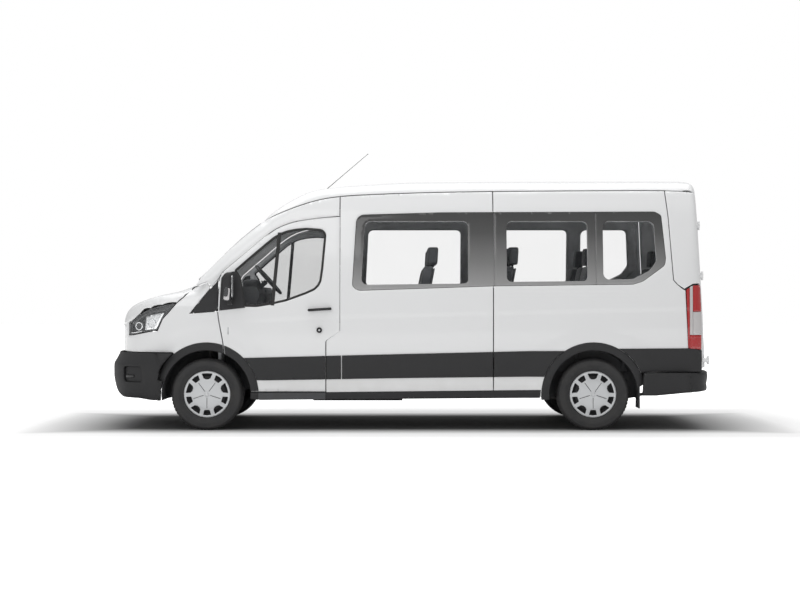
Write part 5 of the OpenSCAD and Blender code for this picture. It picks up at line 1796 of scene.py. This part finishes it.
bead = RIM_R + 14
tyre_profile = fillet([[bead - 6, 62], [bead + 6, 84], [bead + 52, 113], [bead + 96, 116],
                       [TYRE_R - 14, 104], [TYRE_R - 1, 84],
                       [TYRE_R, 0], [TYRE_R - 1, -84], [TYRE_R - 14, -104], [bead + 96, -116],
                       [bead + 52, -113],
                       [bead + 6, -84], [bead - 6, -62], [bead - 14, -62], [bead - 14, 62]],
                      [4, 16, 40, 60, 16, 14, 0, 14, 16, 60, 40, 16, 4, 4, 4])
GROOVES = (-58, -20, 20, 58)


def tyre_part():
    """A tyre round y = 0: rings on its walls, ring grooves and cross cuts in its tread."""
    p = dense(tyre_profile, 5.0)
    out = []
    for r, y in p:
        if r > TYRE_R - 16 and abs(y) < 100:
            for g in GROOVES:
                r -= 8 * math.exp(-(((y - g) / 5.2) ** 4))
        if abs(y) > 90 and bead + 12 < r < TYRE_R - 20:
            y += math.copysign(1.3 * (math.exp(-(((r - bead - 34) / 2.6) ** 2))
                                      + math.exp(-(((r - bead - 92) / 2.6) ** 2))
                                      - math.exp(-(((r - bead - 18) / 2.2) ** 2))), y)
        out.append([r, y])
    turns = 240
    verts, faces, mats = lathe(out, turns)
    k = len(out)
    shoulder = (np.abs(verts[:, 1]) > 64) & (np.abs(verts[:, 1]) < 102)
    r = np.hypot(verts[:, 0], verts[:, 2])
    turn = np.repeat(np.arange(turns), k)
    cut = (turn % 4 == 0) & (r > TYRE_R - 26) & shoulder
    scale = np.where(cut, (r - 6) / r, 1.0)
    verts[:, 0] *= scale
    verts[:, 2] *= scale
    return verts, faces, mats


def cover_y(r):
    """How far the cover's face stands out along the axle, from its middle to its edge."""
    return np.interp(r, [0, 16, 40, 120, 150, 205, 212, 224, 229], [4, 6, 3, 0, -3, -13, -9, -12, -20])


def cover_land(uv):
    x, z = uv[:, 0], uv[:, 1]

    def face(xx, zz):
        r = np.hypot(xx, zz)
        a = np.degrees(np.arctan2(zz, xx)) % 72
        seam_ = np.exp(-((np.minimum(np.abs(a - 54),
                                     72 - np.abs(a - 54)) * r / 57.3 / 1.9) ** 2)) * ramp(r, 22,
                                             30) * ramp(-r, -146, -138)
        petal = 5 * np.exp(-((r - 149) / 5.0) ** 2)
        b = np.degrees(np.arctan2(zz, xx)) % 36
        spoke = 2.4 * np.exp(-((b * r / 57.3 / 5) ** 2)) + 2.4 * np.exp(-(((b - 36) * r / 57.3 / 5) ** 2))
        return cover_y(r) - 1.6 * seam_ - petal * 0.4 - spoke * ramp(r, 140, 165) * ramp(-r, -212,
                                                                                         -200) * 0.9

    y = face(x, z)
    e = 1.0
    n = np.stack([-(face(x + e, z) - face(x - e, z)) / (2 * e), np.ones(len(x)),
                  -(face(x, z + e) - face(x, z - e)) / (2 * e)], 1)
    return np.stack([x, y, z], 1), n / np.linalg.norm(n, axis=1)[:, None]


def cover_part():
    """The silver cover: a disc of five petals, ten windows by turns fanned and square, a bright rim."""
    holes = []
    for i in range(10):
        a = math.radians(90 + 36 * i)
        if i % 2 == 0:
            shape = [[146, -13], [155, -33], [200, -52], [204, 0], [200, 52], [155, 33], [146, 13]]
        else:
            shape = [[152, -25], [201, -39], [205, 0], [201, 39], [152, 25]]
        loop = fillet(shape, 5)
        c, s = math.cos(a), math.sin(a)
        holes.append(np.stack([loop[:, 0] * c - loop[:, 1] * s, loop[:, 0] * s + loop[:, 1] * c], 1))
    for i in range(5):
        a = math.radians(54 + 72 * i)
        c, s = math.cos(a), math.sin(a)
        seam_ = arr([[34, -1.3], [138, -1.3], [138, 1.3], [34, 1.3]])
        holes.append(np.stack([seam_[:, 0] * c - seam_[:, 1] * s, seam_[:, 0] * s + seam_[:, 1] * c],
                              1))
    disc = circle(0, 0, 228, 120)
    return slab([disc] + holes, cover_land, 5, 2.0, step=8, edge_step=6)


def wheel_part():
    """The pressed steel wheel behind the cover, with the drum behind it."""
    barrel = lathe([[222, -4], [228, 10], [222, 14], [206, 6], [196, -40], [190, -150], [206, -196],
                    [226, -206], [226, -212],
                    [200, -204], [182, -150], [186, -34], [170, -26], [60, -20], [60, -32], [176, -40],
                    [190, -10]], 72)
    drum = lathe([[0, -60], [134, -60], [140, -66], [140, -98], [0, -98]], 48)
    return barrel, drum


wheel_spots = {
    "front_left": (AXLE_F, -TRACK_F / 2), "front_right": (AXLE_F, TRACK_F / 2),
    "rear_left": (AXLE_R, -TRACK_R / 2), "rear_right": (AXLE_R, TRACK_R / 2),
}
tyre_base, cover_base = tyre_part(), cover_part()
barrel_base, drum_base = wheel_part()
nut = lathe([[0, -12], [14, -12], [14, 8], [11, 12], [0, 12]], 6)
boss = lathe([[0, 12], [14, 12], [20, 8], [22, 4], [30, 2], [30, -2], [0, -2]], 40)
for corner, (x, y) in wheel_spots.items():
    out_y = abs(y)
    shift = (x, out_y, TYRE_R)
    face_y = out_y + 96

    def put(part, dy):
        p = moved(part, (x, dy, TYRE_R))
        return flip_y(p) if y < 0 else p

    new_piece(corner + "_tyre_rubber", *put(tyre_base, out_y)[:2], corner + "_wheel", TYRE,
              corner + "_tyre", "tyre")
    new_piece(corner + "_cover", *put(joined([cover_base, boss]), face_y)[:2], corner + "_wheel",
              SILVER, None, "silver")
    new_piece(corner + "_rim", *put(barrel_base, face_y - 38)[:2], corner + "_wheel", DARK_STEEL,
              corner + "_wheel", "steel")
    new_piece(corner + "_drum", *put(drum_base, face_y)[:2], corner + "_wheel", CHASSIS, None,
              "chassis_black")
    out_way = -1 if y < 0 else 1
    repeated(corner + "_nuts", nut, corner + "_wheel", STEEL, 5, (x, out_way * (face_y - 54), TYRE_R),
             radius=80, turn=1.0,
             slot="steel")

# ---- Seats ----


def cushion(low, high, lean=0.0, channels=2, across="y", crown=16):
    """A stuffed block: crowned faces, sewn edges and sewn channels along it."""
    lo, hi = arr(low), arr(high)
    n = 12
    bm = bmesh.new()
    bmesh.ops.create_cube(bm, size=2)
    bmesh.ops.subdivide_edges(bm, edges=list(bm.edges), cuts=n, use_grid_fill=True)
    bm.verts.index_update()
    v = arr([tuple(q.co) for q in bm.verts])
    faces = [tuple(q.index for q in f.verts) for f in bm.faces]
    bm.free()
    h, c = (hi - lo) / 2, (lo + hi) / 2
    # A soft norm rounds the box's corners off
    big = np.maximum(np.max(np.abs(v), axis=1), 1e-6)
    soft_norm = np.sum(np.abs(v) ** 7, axis=1) ** (1 / 7)
    v = v * (big / soft_norm)[:, None]
    p = v * h
    side = 1 if across == "y" else 2
    t = v[:, side]
    for k in range(channels):
        at = (k + 1) / (channels + 1) * 1.3 - 0.65
        groove = np.exp(-(((t - at) * h[side] / 6.0) ** 2))
        inward = 7 * groove
        p = p * (1 - inward[:, None] / h.max() * 0.9)
    edge = np.exp(-(((np.abs(t) - 0.86) * h[side] / 5.0) ** 2))
    p = p * (1 - 0.018 * edge[:, None])
    bulge = crown * np.clip(1 - v[:, 1] ** 2, 0, 1)
    thin = int(np.argmin(h))
    p[:, thin] += np.sign(v[:, thin]) * bulge * 0.4 * np.clip(1 - v[:, (thin + 1) % 3] ** 2, 0,
                                                              1) * (np.abs(v[:, thin]) > 0.6)
    if lean:
        p[:, 0] += (p[:, 2] + h[2]) * lean
    return p + c, faces, [0] * len(faces)


def seat_cushions(x, y, w):
    z = FLOOR_Z
    return [
        cushion([x - 498, y - w / 2 + 4, z + 318], [x - 40, y + w / 2 - 4, z + 436]),
        cushion([x - 112, y - w / 2 + 6, z + 402], [x - 12, y + w / 2 - 6, z + 1006], lean=0.19),
        cushion([x + 42, y - 116, z + 1022], [x + 132, y + 116, z + 1196], lean=0.06, channels=0,
                crown=22),
    ]


def seat_frame(x, y, w):
    z = FLOOR_Z
    legs = [brick([x - 430, y + s * w * 0.17 - 14, z], [x - 400, y + s * w * 0.17 + 14, z + 318],
                  5) for s in (-1, 1)]
    legs += [brick([x - 92, y + s * w * 0.17 - 14, z], [x - 62, y + s * w * 0.17 + 14, z + 318],
                   5) for s in (-1, 1)]
    pan = brick([x - 488, y - w / 2 + 14, z + 302], [x - 34, y + w / 2 - 14, z + 324], 7)
    rods = [tube([[x + 84, y + s * 58, z + 960], [x + 92, y + s * 58, z + 1040]], 6, 12) for s in (-1,
                                                                                                   1)]
    shell_ = turned(brick([x - 14, y - w / 2 + 16, z + 420], [x + 2, y + w / 2 - 16, z + 985], 7), "y",
                    0)
    v = shell_[0].copy()
    v[:, 0] += (v[:, 2] - z - 402) * 0.19
    return legs + [pan, (v, shell_[1], shell_[2])] + rods


WHEEL_Y = -440
front_spots = [(AXLE_F + 1215, WHEEL_Y - 60, 500), (AXLE_F + 1215, 215, 430), (AXLE_F + 1215, 655, 430)]
row_x = PILLAR_X + 815
rear_spots = []
for i in range(4):
    for y in (-640, -202, 610):
        if not (i == 3 and abs(y) < 300):
            rear_spots.append((row_x + i * 796, y, 430))
frames = []
for k, spot in enumerate(front_spots):
    v, f, m = joined(seat_cushions(*spot))
    new_piece(f"front_seat_{k + 1}_cushions", v, f, "body", CLOTH, "front_seats" if k == 0 else None,
              "seat_cloth")
    frames += seat_frame(*spot)
for k, spot in enumerate(rear_spots):
    v, f, m = joined(seat_cushions(*spot))
    new_piece(f"seat_{k + 1}_cushions", v, f, "body", CLOTH, "passenger_seats" if k == 0 else None,
              "seat_cloth")
    frames += seat_frame(*spot)
new_piece("seat_frames", *joined(frames)[:2], "body", DASH, None, "trim")

# ---- Small trim ----

wiper_parts = []
for y0, y1, y2 in ((-330, -620, -20), (300, 20, 600)):
    def screen_at(s, y, up):
        p, n = over_cab(arr([[s, y]]))
        return (p + n * up)[0]
    base = screen_at(s0 + 18, y0, 16)
    tip = screen_at(s0 + 150, (y1 + y2) / 2, 20)
    wiper_parts.append(tube([base, (base + tip) / 2 + arr([0, 0, 8]), tip], [9, 7, 5], 10))
    wiper_parts.append(tube([screen_at(s0 + 128 + 20 * math.sin(i / 3), y1 + (y2 - y1) * i / 10,
                                       8) for i in range(11)], 5.5, 8))
    wiper_parts.append(lathe([[0, 10], [14, 8], [16, -8], [0, -10]], 20, tuple(base - arr([0, 0, 0]))))
new_piece("wipers", *joined(wiper_parts)[:2], "body", SEAL, None, "black_plastic")

MAST_X = AXLE_F + 1065
foot_z = float(over_cab(arr([[along_centre(x=MAST_X), 0.0]]))[0][0, 2])
mast = joined([
    tube([[MAST_X - 20, 0, foot_z - 14], [MAST_X, 0, foot_z + 12], [MAST_X + 22, 0, foot_z + 30]],
         [24, 19, 8], 20),
    tube([[MAST_X + 18, 0, foot_z + 26], [-424, 0, 2774]], [3.4, 2.2], 10),
    tube([[-429, 0, 2768], [-421, 0, 2776]], 4, 10),
])
new_piece("roof_mast", *mast[:2], "body", SEAL, "antenna", "black_plastic")

slide_handle = turned(brick([PILLAR_X + 60, SIDE - 2, 1166], [PILLAR_X + 292, SIDE + 23, 1192], 11),
                      "y", -2, (PILLAR_X + 176, 0, 1179))
new_piece("sliding_door_grip", *slide_handle[:2], "body", PLASTIC, None, "black_plastic")
rail_cover = slab([fillet([[850, 1316], [2304, 1330], [2304, 1346], [850, 1332]], 6)],
                  from_side(cab_shape, -3.5), 6, 1.5, step=40)
new_piece("sliding_door_rail", *rail_cover[:2], "body", SEAL, None, "black_plastic")

# Steering column stalks and the dash's screen, under the windscreen
stalks = [tube([[AXLE_F + 505, WHEEL_Y + s * 30, 1436], [AXLE_F + 500, WHEEL_Y + s * 165, 1452]],
               [8, 6], 10) for s in (-1, 1)]
binnacle = blob([AXLE_F + 300, WHEEL_Y - 170, 1378], [AXLE_F + 470, WHEEL_Y + 170, 1470], 3.4)
centre_stack = brick([AXLE_F + 440, -120, 1060], [AXLE_F + 505, 160, 1372], 22)
new_piece("dash_details", *joined(stalks + [binnacle, centre_stack])[:2], "body", DASH, None, "trim")

# The scuttle wall, the door posts and the bonnet's hinge ears behind the skin
inner = [brick([AXLE_F + 90, -800, 560], [AXLE_F + 118, 800, 1325], 4),
         brick([-2075, -800, 1330], [AXLE_F + 118, 800, 1356], 4)]
posts = [brick([AXLE_F + 116, 830, 900], [HINGE_X + 38, 872, 1450], 6)]
HINGE_Z = 965
for low, high in ((HINGE_Z - 34, HINGE_Z - 21), (HINGE_Z + 21, HINGE_Z + 34)):
    posts.append(brick([HINGE_X - 8, 886, low], [HINGE_X + 8, SIDE - 22, high], 2))
posts.append(tube([[HINGE_X, SIDE - 20, HINGE_Z - 34], [HINGE_X, SIDE - 20, HINGE_Z + 34]], 8, 16))
posts.append(brick([PILLAR_X - 70, 900, 600], [PILLAR_X - 12, 960, 1140], 8))
new_piece("cab_structure", *joined(inner + [both(joined(posts))])[:2], "body", LINING, None, "trim")

# ---- CAD pieces that stay in view ----

dress("floor_pan", MAT)
dress("chassis_rails", CHASSIS)
dress("mudflaps", MAT)
dress("dashboard", DASH)
dress("steering_wheel", GLOSS)
dress("engine_block", DARK_STEEL)
dress("front_axle", CHASSIS)
dress("rear_axle", CHASSIS)
dress("fuel_tank", PLASTIC)
dress("exhaust", STEEL)
dress("left_knuckle", DARK_STEEL)
dress("right_knuckle", DARK_STEEL)


# ---- Stage: the floor, the world, the lamps and the camera ----


def stage_piece(name, verts, faces, material):
    mesh = bpy.data.meshes.new(name)
    mesh.from_pydata(verts, [], faces)
    mesh.materials.append(material)
    obj = bpy.data.objects.new(name, mesh)
    bpy.context.scene.collection.objects.link(obj)
    return obj


def floor_with_painted_shadow():
    """A pale floor that is white to the camera away from the shadow; under the van its base colour is
    darkened into a painted shadow.
    """
    f = Finish("studio_floor", rough=0.9)
    x, y = f.part("X"), f.part("Y")
    # Painted shadow: base colour 0.10 in the van's footprint, fading to 0.88 past its edges
    painted_shadow_fade_x = f.node("ShaderNodeMath", {"operation": "ABSOLUTE"}, {0: x}).clamped(2.7, 3.8)
    painted_shadow_fade_y = f.node("ShaderNodeMath", {"operation": "ABSOLUTE"}, {0: y}).clamped(0.75, 1.35)
    outside_painted_shadow = f.node("ShaderNodeMath", {"operation": "MAXIMUM"}, {0: painted_shadow_fade_x, 1: painted_shadow_fade_y})
    f.set(**{"Base Color": f.mix(outside_painted_shadow, grey(0.10), grey(0.88))})
    far_x = f.node("ShaderNodeMath", {"operation": "ABSOLUTE"}, {0: x}).clamped(3.6, 6.5)
    far_y = f.node("ShaderNodeMath", {"operation": "ABSOLUTE"}, {0: y}).clamped(1.6, 4.2)
    far_off = f.node("ShaderNodeMath", {"operation": "MAXIMUM"}, {0: far_x, 1: far_y})
    path = f.tree.nodes.new("ShaderNodeLightPath")
    seen = f.node("ShaderNodeMath", {"operation": "MAXIMUM"},
                  {0: Wire(f, path.outputs["Is Camera Ray"]),
                   1: Wire(f, path.outputs["Is Transmission Ray"])})
    seen = f.node("ShaderNodeMath", {"operation": "MAXIMUM"},
                  {0: seen, 1: Wire(f, path.outputs["Is Glossy Ray"])})
    # Emission makes the far floor white to the camera, and adds a faint glow outside the painted shadow
    f.set(**{"Emission Color": (1, 1, 1, 1),
             "Emission Strength": (far_off * 0.95 + outside_painted_shadow * 0.06) * seen})
    return f.material


# The floor carries the van's painted shadow in its base colour
stage_piece("studio_floor", [(-40, -40, 0), (40, -40, 0), (40, 60, 0), (-40, 60, 0)], [(0, 1, 2, 3)],
                    floor_with_painted_shadow())
world = bpy.data.worlds.new("studio")
bpy.context.scene.world = world
world.use_nodes = True
wt = world.node_tree
back = wt.nodes["Background"]
path = wt.nodes.new("ShaderNodeLightPath")
seen = wt.nodes.new("ShaderNodeMath")
seen.operation = "MAXIMUM"
wt.links.new(path.outputs["Is Camera Ray"], seen.inputs[0])
wt.links.new(path.outputs["Is Transmission Ray"], seen.inputs[1])
strength = wt.nodes.new("ShaderNodeMapRange")
wt.links.new(seen.outputs[0], strength.inputs[0])
strength.inputs["To Min"].default_value = 0.55
strength.inputs["To Max"].default_value = 1.0
wt.links.new(strength.outputs[0], back.inputs["Strength"])
back.inputs["Color"].default_value = (1, 1, 1, 1)


def lamp(name, place, target, size, power):
    data = bpy.data.lights.new(name, "AREA")
    data.shape = "RECTANGLE"
    data.size, data.size_y = size
    data.energy = power
    obj = bpy.data.objects.new(name, data)
    bpy.context.scene.collection.objects.link(obj)
    obj.location = place
    obj.rotation_euler = (Vector(target) - Vector(place)).to_track_quat("-Z", "Y").to_euler()


lamp("overhead", (0, -0.5, 8.0), (0, 0, 0), (11, 7), 520)
lamp("key", (-4.5, -10.0, 6.0), (0, 0, 1.0), (9, 3), 170)

camera = bpy.data.cameras.new("camera")
camera.lens = 68.3
camera.sensor_width = 36
camera.clip_end = 200
camera_object = bpy.data.objects.new("camera", camera)
bpy.context.scene.collection.objects.link(camera_object)
camera_object.location = (-0.0925, -15.7, 1.264)
camera_object.rotation_euler = (math.pi / 2, 0, 0)
bpy.context.scene.camera = camera_object
bpy.context.scene.view_settings.view_transform = "Standard"
